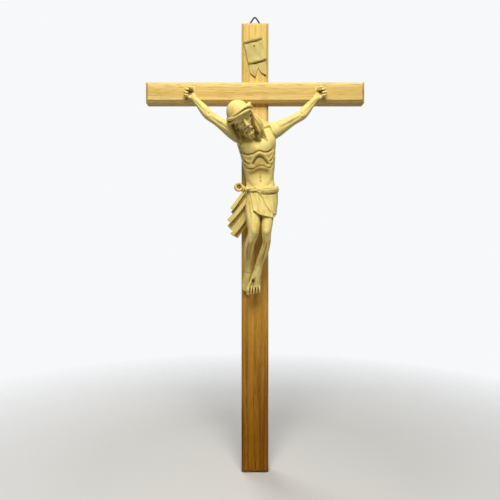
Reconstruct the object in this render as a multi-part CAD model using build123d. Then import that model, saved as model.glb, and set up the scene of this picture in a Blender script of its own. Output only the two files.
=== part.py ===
from build123d import *
import os
from math import cos, radians, sin

# Wall crucifix in millimetres. X runs to the viewer's right, Y from front to back, Z up.
# The origin is the middle of the upright's foot end.

# Boards
UPRIGHT_LENGTH = 500.0
UPRIGHT_WIDTH = 30.0
BOARD_THICKNESS = 16.0
CROSSBAR_LENGTH = 240.0
CROSSBAR_HEIGHT = 22.5
TOP_ARM = 80.0  # top end down to the middle of the crossbar
CROSSBAR_PROUD = 8.0  # how far the crossbar stands in front of the upright
EDGE_CHAMFER = 2.7

# Fits
PIN_CLEARANCE = 0.05  # radial, nails and dowels in their holes
HINGE_CLEARANCE = 0.08  # radial, ring bar in the strap eye
SWING_GAP = 0.3  # ring wire to strap plate when the ring hangs down

# Figure
SHOULDER_X = 25.0  # middle line to the glued arm joint
SHOULDER_DROP = 42.5  # crossbar's middle down to the glued arm joint
SHOULDER_DEPTH = 17.0
HAND_X = 70.0
HAND_DROP = 1.5
PALM_THICKNESS = 6.0
FINGER_RADIUS = 1.45
KNUCKLES = [(0.6, 5.4), (3.0, 4.0), (4.8, 1.8), (5.6, -0.8)]  # out and up from the palm's middle
ELBOW_REACH = 0.62  # share of the way from shoulder to wrist
ELBOW_RISE = 0.44
ARM_SAGS = ((-1, 2.5), (1, 0.0))  # the figure's right shoulder hangs lower
HEAD_X = -15.0
HEAD_DEPTH = 40.0
HEAD_DROP = 35.6
HEAD_SCALE = 1.16
HEAD_PITCH = 34.0  # bowed forward
HEAD_ROLL = 24.0  # leaning to the viewer's left
CROWN_RADIUS = 12.0  # at head scale 1
CROWN_ROPE_RADIUS = 2.1
FEET_NAIL_X = -2.0
FEET_NAIL_DROP = 205.8
FEET_NAIL_DEPTH = 20.4  # underside of the nail head in front of the upright

# Loincloth drape
KNOT_X = -17.8
KNOT_DEPTH = 21.0
KNOT_DROP = 105.5
KNOT_LOOP_RADIUS = 3.9
KNOT_ROPE_RADIUS = 1.9

# Nails, dowels and screws
NAIL_DIAMETER = 1.8
NAIL_HEAD_DIAMETER = 3.8
NAIL_HEAD_HEIGHT = 1.4
NAIL_GRIP = 9.0  # length held in the board
SHOULDER_DOWEL_DIAMETER = 4.0
SHOULDER_DOWEL_LENGTH = 18.0
DRAPE_DOWEL_DIAMETER = 2.4
DRAPE_DOWEL_LENGTH = 9.0
SCREW_DIAMETER = 3.0
SCREW_HEAD_DIAMETER = 6.0
SCREW_SINK = 0.3  # screw heads below the back face
LAP_SCREW_LENGTH = 20.0
LAP_SCREW_SPACING = 14.0
CORPUS_SCREW_LENGTH = 28.0
CORPUS_SCREW_DROP = 117.0
CORPUS_SCREW_X = 7.0
SLOT_WIDTH = 0.9
SLOT_DEPTH = 0.8

# Scroll
SCROLL_WIDTH = 20.6
SCROLL_PANEL_HEIGHT = 23.2
SCROLL_PANEL_THICKNESS = 3.0
SCROLL_TAIL_LENGTH = 18.0
SCROLL_TAIL_THICKNESS = 1.6
SCROLL_NOTCH = 12.0  # depth of the swallow-tail notch
SCROLL_ROLL_RADIUS = 2.1
SCROLL_TILT = 14.0
SCROLL_X = 0.3
SCROLL_RAISE = 2.0  # above the middle of the free top arm
PIN_DIAMETER = 1.2
PIN_HEAD_DIAMETER = 2.4
PIN_HEAD_HEIGHT = 0.9
PIN_BELOW_EDGE = 6.5

# Hanger
WIRE_DIAMETER = 1.8
RING_HALF_BASE = 12.3  # wire centre line, before its bends
RING_PEAK = 18.6
RING_BASE_BEND = 2.4
RING_TOP_BEND = 1.9
HINGE_BELOW_TOP = 3.4
STRAP_WIDTH = 9.0
STRAP_THICKNESS = 0.8
STRAP_LENGTH = 13.0
STRAP_CORNER = 2.0
STRAP_SCREW_DROP = 7.6
STRAP_SCREW_DIAMETER = 2.5
STRAP_SCREW_LENGTH = 11.0
STRAP_SCREW_HEAD_DIAMETER = 5.4
STRAP_SCREW_HEAD_HEIGHT = 1.7

FRONT_Y = -BOARD_THICKNESS / 2
BACK_Y = BOARD_THICKNESS / 2
CROSSBAR_Z = UPRIGHT_LENGTH - TOP_ARM
LAP_DEPTH = (BOARD_THICKNESS - CROSSBAR_PROUD) / 2  # notch in each board
LAP_FLOOR_Y = FRONT_Y + LAP_DEPTH
HINGE_Y = BACK_Y + STRAP_THICKNESS + SWING_GAP + WIRE_DIAMETER / 2
HINGE_Z = UPRIGHT_LENGTH - HINGE_BELOW_TOP
SCROLL_Z = CROSSBAR_Z + CROSSBAR_HEIGHT / 4 + TOP_ARM / 2 + SCROLL_RAISE
FROM_LOW = (Align.CENTER, Align.CENTER, Align.MIN)
TO_FRONT = Vector(0, -1, 0)


def at(x, depth, drop):
    """A point by its distance in front of the upright and below the crossbar's middle."""
    return Vector(x, FRONT_Y - depth, CROSSBAR_Z - drop)


def limb(stations):
    """Rounded form through ellipses (x, depth, drop, half width, half depth)."""
    centres = [at(x, depth, drop) for x, depth, drop, _, _ in stations]
    last = len(centres) - 1
    sections = []
    for i, (_, _, _, half_width, half_depth) in enumerate(stations):
        along = (centres[min(i + 1, last)] - centres[max(i - 1, 0)]).normalized()
        across = Vector(0, 1, 0).cross(along).normalized()
        sections.append(Plane(centres[i], across, along) * Ellipse(half_width, half_depth))
    return loft(sections)


def ball(x, depth, drop, radius):
    return Pos(at(x, depth, drop)) * Sphere(radius)


def in_front(distance):
    """The room in front of a plane that lies this far before the upright."""
    size = UPRIGHT_LENGTH
    return Pos(0, FRONT_Y - distance - size / 2, CROSSBAR_Z) * Box(2 * size, size, 4 * size)


def rod(start, direction, radius, length):
    return Plane(start, z_dir=direction) * Cylinder(radius, length, align=FROM_LOW)


def board(length_x, length_z, centre_z, front_y):
    middle_y = front_y + BOARD_THICKNESS / 2
    solid = Pos(0, middle_y, centre_z) * Box(length_x, BOARD_THICKNESS, length_z)
    front_edges = solid.faces().sort_by(Axis.Y)[0].edges()
    return chamfer(front_edges, EDGE_CHAMFER)


# Head frame: up along the skull, face forward, side to the viewer's right
HEAD_SIDE = Vector(cos(radians(HEAD_ROLL)), 0, sin(radians(HEAD_ROLL)))
HEAD_UP = Vector(
    -sin(radians(HEAD_ROLL)) * cos(radians(HEAD_PITCH)),
    -sin(radians(HEAD_PITCH)),
    cos(radians(HEAD_ROLL)) * cos(radians(HEAD_PITCH)),
)
HEAD_FACE = HEAD_SIDE.cross(HEAD_UP)
HEAD_CENTRE = at(HEAD_X, HEAD_DEPTH, HEAD_DROP)


def on_head(side, up, face):
    offset = HEAD_SIDE * side + HEAD_UP * up + HEAD_FACE * face
    return HEAD_CENTRE + offset * HEAD_SCALE


def head_form(stations):
    """Form along the skull through ellipses (up, face offset, half width, half depth)."""
    sections = []
    for up, face, half_width, half_depth in stations:
        plane = Plane(on_head(0, up, face), HEAD_SIDE, HEAD_UP)
        sections.append(plane * Ellipse(HEAD_SCALE * half_width, HEAD_SCALE * half_depth))
    return loft(sections)


def make_head():
    skull = head_form(
        [
            (-15.0, 6.4, 4.4, 4.2),
            (-10.0, 3.8, 7.6, 8.4),
            (-5.0, 1.8, 9.4, 11.0),
            (0.0, 0.6, 10.2, 12.2),
            (5.0, 0.0, 10.3, 12.4),
            (10.0, -0.4, 8.8, 10.6),
            (14.2, -0.7, 3.4, 4.2),
        ]
    )
    hair = head_form(
        [
            (-16.0, -5.0, 8.0, 5.0),
            (-10.0, -4.6, 11.0, 7.6),
            (-4.0, -4.0, 12.2, 9.2),
            (2.0, -3.2, 11.6, 10.0),
            (8.0, -2.4, 9.0, 9.4),
        ]
    )
    crown_plane = Plane(on_head(0, 4.6, 0.4), HEAD_SIDE, HEAD_UP)
    crown = crown_plane * Torus(HEAD_SCALE * CROWN_RADIUS, HEAD_SCALE * CROWN_ROPE_RADIUS)
    beard = head_form(
        [
            (-22.0, 7.4, 2.4, 2.2),
            (-18.0, 6.8, 5.2, 4.6),
            (-14.0, 5.8, 7.0, 6.4),
            (-10.0, 4.6, 7.2, 7.2),
            (-6.0, 3.0, 5.0, 6.0),
        ]
    )
    lock_by_cheek = limb(
        [
            (-1.5, 37.0, 33.0, 3.5, 4.5),
            (4.5, 34.4, 39.0, 4.6, 5.0),
            (8.6, 32.2, 46.5, 3.9, 4.3),
            (11.0, 30.4, 54.0, 2.4, 2.8),
        ]
    )
    lock_in_shade = limb(
        [
            (-25.0, 37.5, 37.5, 3.2, 4.5),
            (-26.0, 37.0, 45.0, 4.0, 4.8),
            (-22.6, 35.4, 52.5, 4.0, 4.4),
            (-17.6, 33.4, 59.0, 2.6, 3.0),
        ]
    )
    neck = limb(
        [
            (0.5, 13.0, 46.0, 9.0, 7.4),
            (-3.5, 19.0, 41.0, 8.2, 7.2),
            (-8.0, 25.0, 38.0, 7.6, 7.0),
            (-12.0, 31.0, 36.8, 7.2, 6.8),
            (-15.0, 37.0, 36.4, 6.6, 6.4),
        ]
    )
    return [neck, skull, hair, beard, lock_by_cheek, lock_in_shade, crown]


def make_torso():
    return limb(
        [
            (7.5, 15.5, 131.0, 15.0, 13.0),
            (7.0, 15.2, 119.0, 18.0, 15.6),
            (6.5, 15.0, 107.0, 17.0, 14.6),
            (5.2, 15.0, 96.0, 15.2, 12.2),
            (4.4, 16.2, 84.0, 16.9, 13.2),
            (3.2, 17.4, 72.0, 18.8, 14.2),
            (1.8, 18.0, 61.0, 20.6, 14.6),
            (0.4, 17.6, 50.0, 21.6, 13.2),
            (-0.4, 16.6, 40.0, 17.0, 10.4),
            (-1.0, 16.6, 33.0, 9.0, 7.4),
        ]
    )


def make_legs():
    right_leg = limb(
        [
            (2.0, 15.0, 104.0, 7.6, 8.0),
            (0.0, 18.0, 117.0, 9.2, 10.2),
            (-1.3, 22.5, 130.0, 9.6, 10.8),
            (-1.2, 29.0, 143.0, 8.0, 9.0),
            (-1.2, 33.0, 155.0, 6.6, 7.0),
            (-3.6, 28.5, 165.0, 6.0, 6.3),
            (-6.2, 21.5, 175.0, 5.4, 5.8),
            (-6.9, 13.6, 186.0, 3.9, 4.3),
            (-7.0, 7.6, 196.0, 3.7, 4.0),
        ]
    )
    left_leg = limb(
        [
            (12.0, 15.0, 104.0, 7.6, 8.0),
            (13.5, 18.0, 117.0, 9.2, 10.2),
            (14.4, 22.5, 130.0, 9.6, 10.8),
            (12.8, 29.0, 143.0, 8.0, 9.0),
            (11.4, 33.0, 155.0, 6.4, 7.0),
            (11.0, 29.5, 165.0, 5.5, 6.1),
            (8.8, 25.5, 175.0, 5.0, 5.6),
            (5.4, 20.5, 185.0, 4.3, 4.6),
            (3.0, 16.5, 195.0, 4.1, 4.2),
        ]
    )
    right_foot = limb(
        [
            (-6.6, 9.4, 189.0, 3.0, 3.2),
            (-7.2, 6.8, 197.0, 4.2, 5.0),
            (-8.0, 5.2, 205.0, 4.8, 5.6),
            (-9.0, 4.4, 213.0, 5.0, 4.6),
            (-9.8, 3.8, 220.0, 4.2, 2.8),
        ]
    )
    left_foot = limb(
        [
            (4.4, 18.5, 188.0, 3.2, 3.4),
            (2.6, 16.4, 196.0, 4.6, 5.2),
            (1.0, 15.6, 204.0, 5.6, 5.8),
            (-0.4, 15.4, 212.0, 6.9, 4.4),
            (-1.2, 15.4, 220.0, 7.6, 2.6),
        ]
    )
    return [right_leg, left_leg, right_foot, left_foot]


def make_wrap():
    """Loincloth over the figure's left thigh, with its belt."""
    apron = limb(
        [
            (11.4, 15.6, 100.0, 10.0, 12.0),
            (12.4, 17.0, 110.0, 13.4, 15.4),
            (12.7, 19.5, 120.0, 13.6, 16.0),
            (12.2, 23.0, 130.0, 12.8, 14.6),
            (11.4, 26.5, 139.0, 12.0, 12.4),
        ]
    )
    belt = limb(
        [
            (6.6, 15.4, 117.0, 17.2, 14.8),
            (6.4, 15.4, 112.5, 19.2, 16.8),
            (6.2, 15.3, 108.0, 19.0, 16.6),
            (6.0, 15.2, 103.5, 16.2, 13.6),
        ]
    )
    return [apron, belt]


def arm_stations(side, sag):
    """Sections of an arm from inside the shoulder to the wrist. side is +1 to the viewer's right."""
    shoulder = (SHOULDER_X, SHOULDER_DEPTH, SHOULDER_DROP + sag)
    wrist = (HAND_X - 4.4, CROSSBAR_PROUD + PALM_THICKNESS / 2 + 2.4, HAND_DROP + 7.6)
    elbow = (
        shoulder[0] + ELBOW_REACH * (wrist[0] - shoulder[0]),
        shoulder[1],
        shoulder[2] + ELBOW_RISE * (wrist[2] - shoulder[2]) - 0.6 * sag,
    )

    def between(a, b, share):
        return tuple(p + share * (q - p) for p, q in zip(a, b))

    stations = []
    for centre, half_width, half_depth in [
        (between(shoulder, elbow, -0.33), 8.4, 8.2),
        (shoulder, 8.0, 7.8),
        (between(shoulder, elbow, 0.33), 6.5, 6.6),
        (between(shoulder, elbow, 0.67), 5.4, 5.7),
        (elbow, 5.5, 5.3),
        (between(elbow, wrist, 0.36), 5.2, 5.0),
        (between(elbow, wrist, 0.7), 3.9, 3.9),
        (wrist, 3.3, 3.0),
    ]:
        stations.append((side * centre[0], centre[1], centre[2], half_width, half_depth))
    return stations


def digit(root, bend, tip):
    """Finger of even thickness along an arc, with a round tip."""
    line = ThreePointArc(root, bend, tip)
    finger = sweep(Plane(line @ 0, z_dir=line % 0) * Circle(FINGER_RADIUS), line)
    return finger + Pos(tip) * Sphere(FINGER_RADIUS)


def make_hand():
    """Open palm with fingers curled forward, on the viewer's left. The wrist runs into the arm."""
    middle = CROSSBAR_PROUD + PALM_THICKNESS / 2
    hand = limb(
        [
            (-(HAND_X - 5.4), middle + 2.6, HAND_DROP + 9.4, 2.8, 2.5),
            (-(HAND_X - 3.2), middle + 1.2, HAND_DROP + 5.4, 4.0, 2.9),
            (-(HAND_X - 0.6), middle + 0.2, HAND_DROP + 1.6, 5.0, PALM_THICKNESS / 2),
            (-(HAND_X + 2.6), middle, HAND_DROP - 1.8, 4.6, PALM_THICKNESS / 2.2),
        ]
    )
    for reach, rise in KNUCKLES:
        x = HAND_X + reach
        drop = HAND_DROP - rise
        hand = hand + digit(
            at(-(x - 1.2), middle - 0.2, drop + 0.8),
            at(-(x + 1.8), middle + 2.6, drop - 0.7),
            at(-(x + 0.4), middle + 6.0, drop + 0.4),
        )
    return hand + digit(
        at(-(HAND_X - 2.6), middle + 0.4, HAND_DROP + 2.4),
        at(-(HAND_X - 4.4), middle + 2.0, HAND_DROP - 1.4),
        at(-(HAND_X - 3.4), middle + 3.8, HAND_DROP - 5.0),
    )


def arm_joint(side, sag):
    """Middle and outward direction of the glued joint between arm and body."""
    stations = arm_stations(side, sag)
    middle = at(*stations[1][:3])
    outward = (at(*stations[2][:3]) - at(*stations[0][:3])).normalized()
    return middle, outward


def beyond(start, direction):
    """The room past a glued joint, out along the arm."""
    return rod(start, direction, 6 * SHOULDER_X, 12 * SHOULDER_X)


def make_nail(head_under, diameter, length, head_diameter, head_height):
    """Nail driven straight back from the underside of its head."""
    radius = diameter / 2
    tip = head_under - TO_FRONT * length
    spike_length = 2 * diameter
    spike = Plane(tip, z_dir=TO_FRONT) * Cone(radius / 6, radius, spike_length, align=FROM_LOW)
    shank = rod(tip + TO_FRONT * spike_length, TO_FRONT, radius, length - spike_length)
    head = rod(head_under, TO_FRONT, head_diameter / 2, head_height)
    head = fillet(head.edges().sort_by(Axis.Y)[0], head_height / 2)
    return spike + shank + head


def nail_room(head_under, diameter, length, head_diameter):
    """Hole for a nail, with open room for its head."""
    shank = rod(head_under, TO_FRONT * -1, diameter / 2 + PIN_CLEARANCE, length + PIN_CLEARANCE)
    return shank + rod(head_under, TO_FRONT, head_diameter / 2 + PIN_CLEARANCE, BOARD_THICKNESS)


def make_wood_screw(x, z, length):
    """Slotted countersunk screw driven to the front from the back of the upright."""
    head_top = Vector(x, BACK_Y - SCREW_SINK, z)
    plane = Plane(head_top, z_dir=TO_FRONT)
    radius = SCREW_DIAMETER / 2
    head_height = SCREW_HEAD_DIAMETER / 2 - radius
    point_length = 2 * SCREW_DIAMETER
    head = plane * Cone(SCREW_HEAD_DIAMETER / 2, radius, head_height, align=FROM_LOW)
    shank = rod(head_top + TO_FRONT * head_height, TO_FRONT, radius, length - head_height - point_length)
    point = plane.offset(length - point_length) * Cone(radius, radius / 8, point_length, align=FROM_LOW)
    slot = plane * Box(2 * SCREW_HEAD_DIAMETER, SLOT_WIDTH, 2 * SLOT_DEPTH)
    return head + shank + point - slot


def wood_screw_room(x, z, length):
    """Countersunk hole for a wood screw, open to the back."""
    radius = SCREW_DIAMETER / 2 + PIN_CLEARANCE
    head_radius = SCREW_HEAD_DIAMETER / 2 + 2 * PIN_CLEARANCE
    head_top = Vector(x, BACK_Y - SCREW_SINK, z)
    sink = Plane(head_top, z_dir=TO_FRONT) * Cone(head_radius, radius, head_radius - radius, align=FROM_LOW)
    mouth = rod(head_top, TO_FRONT * -1, head_radius, 2 * SCREW_SINK)
    return sink + mouth + rod(head_top, TO_FRONT, radius, length + PIN_CLEARANCE)


# Boards with their halved joint
upright = board(UPRIGHT_WIDTH, UPRIGHT_LENGTH, UPRIGHT_LENGTH / 2, FRONT_Y)
crossbar = board(CROSSBAR_LENGTH, CROSSBAR_HEIGHT, CROSSBAR_Z, FRONT_Y - CROSSBAR_PROUD)
lap_middle = Pos(0, LAP_FLOOR_Y, CROSSBAR_Z)
upright -= lap_middle * Box(
    2 * UPRIGHT_WIDTH, 2 * LAP_DEPTH, CROSSBAR_HEIGHT, align=(Align.CENTER, Align.MAX, Align.CENTER)
)
crossbar -= lap_middle * Box(
    UPRIGHT_WIDTH, 2 * BOARD_THICKNESS, 2 * CROSSBAR_HEIGHT, align=(Align.CENTER, Align.MIN, Align.CENTER)
)

# Figure
corpus_body = make_torso()
for form in make_legs() + make_wrap() + make_head():
    corpus_body = corpus_body + form
corpus_body = corpus_body & in_front(0)
left_hand = make_hand()
hands = {-1: left_hand, 1: mirror(left_hand, Plane.YZ)}
arms = {}
for side, sag in ARM_SAGS:
    middle, outward = arm_joint(side, sag)
    whole_arm = limb(arm_stations(side, sag))
    outer_room = beyond(middle, outward)
    arms[side] = ((whole_arm & outer_room) + hands[side]) & in_front(CROSSBAR_PROUD)
    corpus_body = corpus_body + (whole_arm - outer_room)
for arm in arms.values():
    corpus_body = corpus_body - arm

# Drape
knot_plane = Plane(at(KNOT_X, KNOT_DEPTH, KNOT_DROP), (1, 0, 0), (0, -1, 0))
loop = knot_plane * Torus(KNOT_LOOP_RADIUS, KNOT_ROPE_RADIUS)
knot = ball(KNOT_X + 5.0, KNOT_DEPTH, KNOT_DROP + 2.5, 3.8)
first_tail = limb(
    [
        (KNOT_X + 6.0, KNOT_DEPTH, KNOT_DROP + 1.0, 2.2, 2.4),
        (KNOT_X + 1.0, KNOT_DEPTH - 0.6, KNOT_DROP + 8.0, 2.6, 2.6),
        (KNOT_X - 3.4, KNOT_DEPTH - 1.6, KNOT_DROP + 15.5, 2.9, 2.5),
        (KNOT_X - 7.2, KNOT_DEPTH - 3.0, KNOT_DROP + 23.5, 3.2, 2.0),
    ]
)
second_tail = limb(
    [
        (KNOT_X + 6.0, KNOT_DEPTH - 1.4, KNOT_DROP + 2.0, 2.6, 3.0),
        (KNOT_X + 2.0, KNOT_DEPTH - 2.4, KNOT_DROP + 13.0, 3.6, 3.2),
        (KNOT_X - 3.6, KNOT_DEPTH - 4.0, KNOT_DROP + 24.5, 4.2, 3.0),
        (KNOT_X - 9.6, KNOT_DEPTH - 6.0, KNOT_DROP + 36.5, 4.2, 2.2),
    ]
)
third_tail = limb(
    [
        (KNOT_X + 6.6, KNOT_DEPTH - 3.4, KNOT_DROP + 4.0, 2.8, 3.0),
        (KNOT_X + 4.0, KNOT_DEPTH - 5.0, KNOT_DROP + 20.0, 4.2, 3.6),
        (KNOT_X - 0.4, KNOT_DEPTH - 7.0, KNOT_DROP + 36.0, 4.9, 3.4),
        (KNOT_X - 6.0, KNOT_DEPTH - 9.6, KNOT_DROP + 52.0, 5.4, 2.4),
    ]
)
loincloth_drape = loop + knot + first_tail + second_tail + third_tail - corpus_body
loincloth_drape = Part() + loincloth_drape.solids().sort_by(SortBy.VOLUME)[-1]

# Dowels in the glued joints
shoulder_dowels = {}
for side, sag in ARM_SAGS:
    middle, outward = arm_joint(side, sag)
    start = middle - outward * (SHOULDER_DOWEL_LENGTH / 2)
    shoulder_dowels[side] = rod(start, outward, SHOULDER_DOWEL_DIAMETER / 2, SHOULDER_DOWEL_LENGTH)
    room = rod(
        start - outward * PIN_CLEARANCE,
        outward,
        SHOULDER_DOWEL_DIAMETER / 2 + PIN_CLEARANCE,
        SHOULDER_DOWEL_LENGTH + 2 * PIN_CLEARANCE,
    )
    corpus_body -= room
    arms[side] -= room
dowel_start = at(KNOT_X + 3.4, KNOT_DEPTH - 0.4, KNOT_DROP + 2.7)
dowel_line = (at(CORPUS_SCREW_X, KNOT_DEPTH - 5.0, KNOT_DROP + 4.0) - dowel_start).normalized()
drape_dowel = rod(dowel_start, dowel_line, DRAPE_DOWEL_DIAMETER / 2, DRAPE_DOWEL_LENGTH)
drape_dowel_room = rod(
    dowel_start - dowel_line * PIN_CLEARANCE,
    dowel_line,
    DRAPE_DOWEL_DIAMETER / 2 + PIN_CLEARANCE,
    DRAPE_DOWEL_LENGTH + 2 * PIN_CLEARANCE,
)
corpus_body -= drape_dowel_room
loincloth_drape -= drape_dowel_room

# Nails of the figure
hand_nail_length = PALM_THICKNESS - 1.0 + NAIL_GRIP
hand_nails = {}
for side in arms:
    seat = at(side * HAND_X, CROSSBAR_PROUD + PALM_THICKNESS - 1.0, HAND_DROP)
    hand_nails[side] = make_nail(seat, NAIL_DIAMETER, hand_nail_length, NAIL_HEAD_DIAMETER, NAIL_HEAD_HEIGHT)
    room = nail_room(seat, NAIL_DIAMETER, hand_nail_length, NAIL_HEAD_DIAMETER)
    arms[side] -= room
    crossbar -= room
feet_seat = at(FEET_NAIL_X, FEET_NAIL_DEPTH, FEET_NAIL_DROP)
feet_nail_length = FEET_NAIL_DEPTH + NAIL_GRIP
feet_nail = make_nail(feet_seat, NAIL_DIAMETER, feet_nail_length, NAIL_HEAD_DIAMETER, NAIL_HEAD_HEIGHT)
feet_nail_room = nail_room(feet_seat, NAIL_DIAMETER, feet_nail_length, NAIL_HEAD_DIAMETER)
corpus_body -= feet_nail_room
upright -= feet_nail_room

# Screws from the back
lap_screws = {}
for side in (-1, 1):
    place = (side * LAP_SCREW_SPACING / 2, CROSSBAR_Z, LAP_SCREW_LENGTH)
    lap_screws[side] = make_wood_screw(*place)
    upright -= wood_screw_room(*place)
    crossbar -= wood_screw_room(*place)
corpus_place = (CORPUS_SCREW_X, CROSSBAR_Z - CORPUS_SCREW_DROP, CORPUS_SCREW_LENGTH)
corpus_screw = make_wood_screw(*corpus_place)
upright -= wood_screw_room(*corpus_place)
corpus_body -= wood_screw_room(*corpus_place)

# Scroll and its pin
scroll_line = Vector(cos(radians(SCROLL_TILT)), 0, sin(radians(SCROLL_TILT)))
scroll_plane = Plane((SCROLL_X, FRONT_Y, SCROLL_Z), scroll_line, TO_FRONT)
half_width = SCROLL_WIDTH / 2
half_height = SCROLL_PANEL_HEIGHT / 2
tail_tip = -half_height - SCROLL_TAIL_LENGTH
tail_outline = Polyline(
    (-0.88 * half_width, 0),
    (0.88 * half_width, 0),
    (0.62 * half_width, tail_tip),
    (-0.08 * half_width, tail_tip + SCROLL_NOTCH),
    (-0.78 * half_width, tail_tip),
    close=True,
)
panel = scroll_plane * Box(SCROLL_WIDTH, SCROLL_PANEL_HEIGHT, SCROLL_PANEL_THICKNESS, align=FROM_LOW)
tail = scroll_plane * extrude(make_face(tail_outline), SCROLL_TAIL_THICKNESS)
roll = scroll_plane * (
    Pos(0, half_height, SCROLL_ROLL_RADIUS) * Rot(0, 90, 0) * Cylinder(SCROLL_ROLL_RADIUS, SCROLL_WIDTH)
)
titulus_scroll = panel + tail + roll
pin_seat = scroll_plane.from_local_coords((0, half_height - PIN_BELOW_EDGE, SCROLL_PANEL_THICKNESS))
pin_length = SCROLL_PANEL_THICKNESS + NAIL_GRIP
titulus_pin = make_nail(pin_seat, PIN_DIAMETER, pin_length, PIN_HEAD_DIAMETER, PIN_HEAD_HEIGHT)
pin_room = nail_room(pin_seat, PIN_DIAMETER, pin_length, PIN_HEAD_DIAMETER)
titulus_scroll -= pin_room
upright -= pin_room

# Hanger
hinge = Pos(0, HINGE_Y, HINGE_Z)
eye_radius = WIRE_DIAMETER / 2 + HINGE_CLEARANCE
eye = hinge * Rot(0, 90, 0) * Cylinder(eye_radius + STRAP_THICKNESS, STRAP_WIDTH)
plate = Pos(0, BACK_Y, HINGE_Z) * Box(
    STRAP_WIDTH, STRAP_THICKNESS, STRAP_LENGTH, align=(Align.CENTER, Align.MIN, Align.MAX)
)
low_corners = plate.edges().filter_by(Axis.Y).group_by(Axis.Z)[0]
plate = fillet(low_corners, STRAP_CORNER)
bore = hinge * Rot(0, 90, 0) * Cylinder(eye_radius, 2 * STRAP_WIDTH)
screw_z = HINGE_Z - STRAP_SCREW_DROP
screw_seat = Vector(0, BACK_Y + STRAP_THICKNESS, screw_z)
screw_radius = STRAP_SCREW_DIAMETER / 2
strap_screw_hole = rod(
    screw_seat + Vector(0, STRAP_THICKNESS, 0),
    TO_FRONT,
    screw_radius + PIN_CLEARANCE,
    STRAP_SCREW_LENGTH + STRAP_THICKNESS + PIN_CLEARANCE,
)
hanger_strap = eye + plate - bore - strap_screw_hole
upright -= strap_screw_hole
screw_point = 2 * STRAP_SCREW_DIAMETER
screw_head = rod(screw_seat, TO_FRONT * -1, STRAP_SCREW_HEAD_DIAMETER / 2, STRAP_SCREW_HEAD_HEIGHT)
screw_head = fillet(screw_head.edges().sort_by(Axis.Y)[-1], STRAP_SCREW_HEAD_HEIGHT / 2)
screw_shank = rod(screw_seat, TO_FRONT, screw_radius, STRAP_SCREW_LENGTH - screw_point)
point_start = screw_seat + TO_FRONT * (STRAP_SCREW_LENGTH - screw_point)
screw_tip = Plane(point_start, z_dir=TO_FRONT) * Cone(screw_radius, screw_radius / 8, screw_point, align=FROM_LOW)
slot = Pos(0, screw_seat.Y + STRAP_SCREW_HEAD_HEIGHT, screw_z) * Box(
    2 * STRAP_SCREW_HEAD_DIAMETER, 2 * SLOT_DEPTH, SLOT_WIDTH
)
hanger_screw = screw_head + screw_shank + screw_tip - slot
ring_line = FilletPolyline(
    (-RING_HALF_BASE, HINGE_Y, HINGE_Z),
    (RING_HALF_BASE, HINGE_Y, HINGE_Z),
    (0, HINGE_Y, HINGE_Z + RING_PEAK),
    radius=(RING_BASE_BEND, RING_BASE_BEND, RING_TOP_BEND),
    close=True,
)
wire_end = Plane(ring_line @ 0, z_dir=ring_line % 0) * Circle(WIRE_DIAMETER / 2)
hanger_ring = sweep(wire_end, ring_line)

parts = {
    "upright": upright,
    "crossbar": crossbar,
    "lap_screw_left": lap_screws[-1],
    "lap_screw_right": lap_screws[1],
    "corpus_body": corpus_body,
    "corpus_screw": corpus_screw,
    "right_arm": arms[-1],
    "left_arm": arms[1],
    "right_shoulder_dowel": shoulder_dowels[-1],
    "left_shoulder_dowel": shoulder_dowels[1],
    "loincloth_drape": loincloth_drape,
    "drape_dowel": drape_dowel,
    "right_hand_nail": hand_nails[-1],
    "left_hand_nail": hand_nails[1],
    "feet_nail": feet_nail,
    "titulus_scroll": titulus_scroll,
    "titulus_pin": titulus_pin,
    "hanger_strap": hanger_strap,
    "hanger_screw": hanger_screw,
    "hanger_ring": hanger_ring,
}

os.makedirs("parts", exist_ok=True)
for name, shape in parts.items():
    export_step(shape, f"parts/{name}.step")
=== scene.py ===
from math import cos, pi, radians, sin

import bmesh
import bpy
import numpy as np
from mathutils import Matrix, Vector
from mathutils.bvhtree import BVHTree


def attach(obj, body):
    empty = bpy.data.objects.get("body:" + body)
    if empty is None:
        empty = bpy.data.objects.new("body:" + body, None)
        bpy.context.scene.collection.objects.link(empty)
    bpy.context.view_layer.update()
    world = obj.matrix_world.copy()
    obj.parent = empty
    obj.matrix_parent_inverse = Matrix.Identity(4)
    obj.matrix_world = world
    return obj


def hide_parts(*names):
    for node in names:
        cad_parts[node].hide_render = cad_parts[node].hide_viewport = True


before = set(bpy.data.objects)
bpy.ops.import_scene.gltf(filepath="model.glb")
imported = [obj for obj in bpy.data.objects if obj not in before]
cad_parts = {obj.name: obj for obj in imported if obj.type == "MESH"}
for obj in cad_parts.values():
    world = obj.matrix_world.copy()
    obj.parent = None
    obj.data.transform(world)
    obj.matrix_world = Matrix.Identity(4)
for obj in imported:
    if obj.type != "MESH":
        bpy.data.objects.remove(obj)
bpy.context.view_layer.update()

# Forms are built in millimetres in the part's frame and scaled to metres when they are finished.
MM = 0.001
BOARD_FRONT = -8.0  # y of the upright's front face
CROSSBAR_Z = 420.0  # middle of the crossbar
CROSSBAR_PROUD = 8.0  # how far the crossbar's front stands before the upright's
CROSSBAR_FRONT = BOARD_FRONT - CROSSBAR_PROUD
TO_BACK = Vector((0, 1, 0))
UP = Vector((0, 0, 1))
THINNEST = 0.05  # least half width of a drawn-out end

# Head: place, lean and size
HEAD_SCALE = 1.16
HEAD_PITCH = radians(34)
HEAD_ROLL = radians(32)


def at(x, depth, drop):
    """A point by its distance in front of the upright and below the crossbar's middle."""
    return Vector((x, BOARD_FRONT - depth, CROSSBAR_Z - drop))


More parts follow.
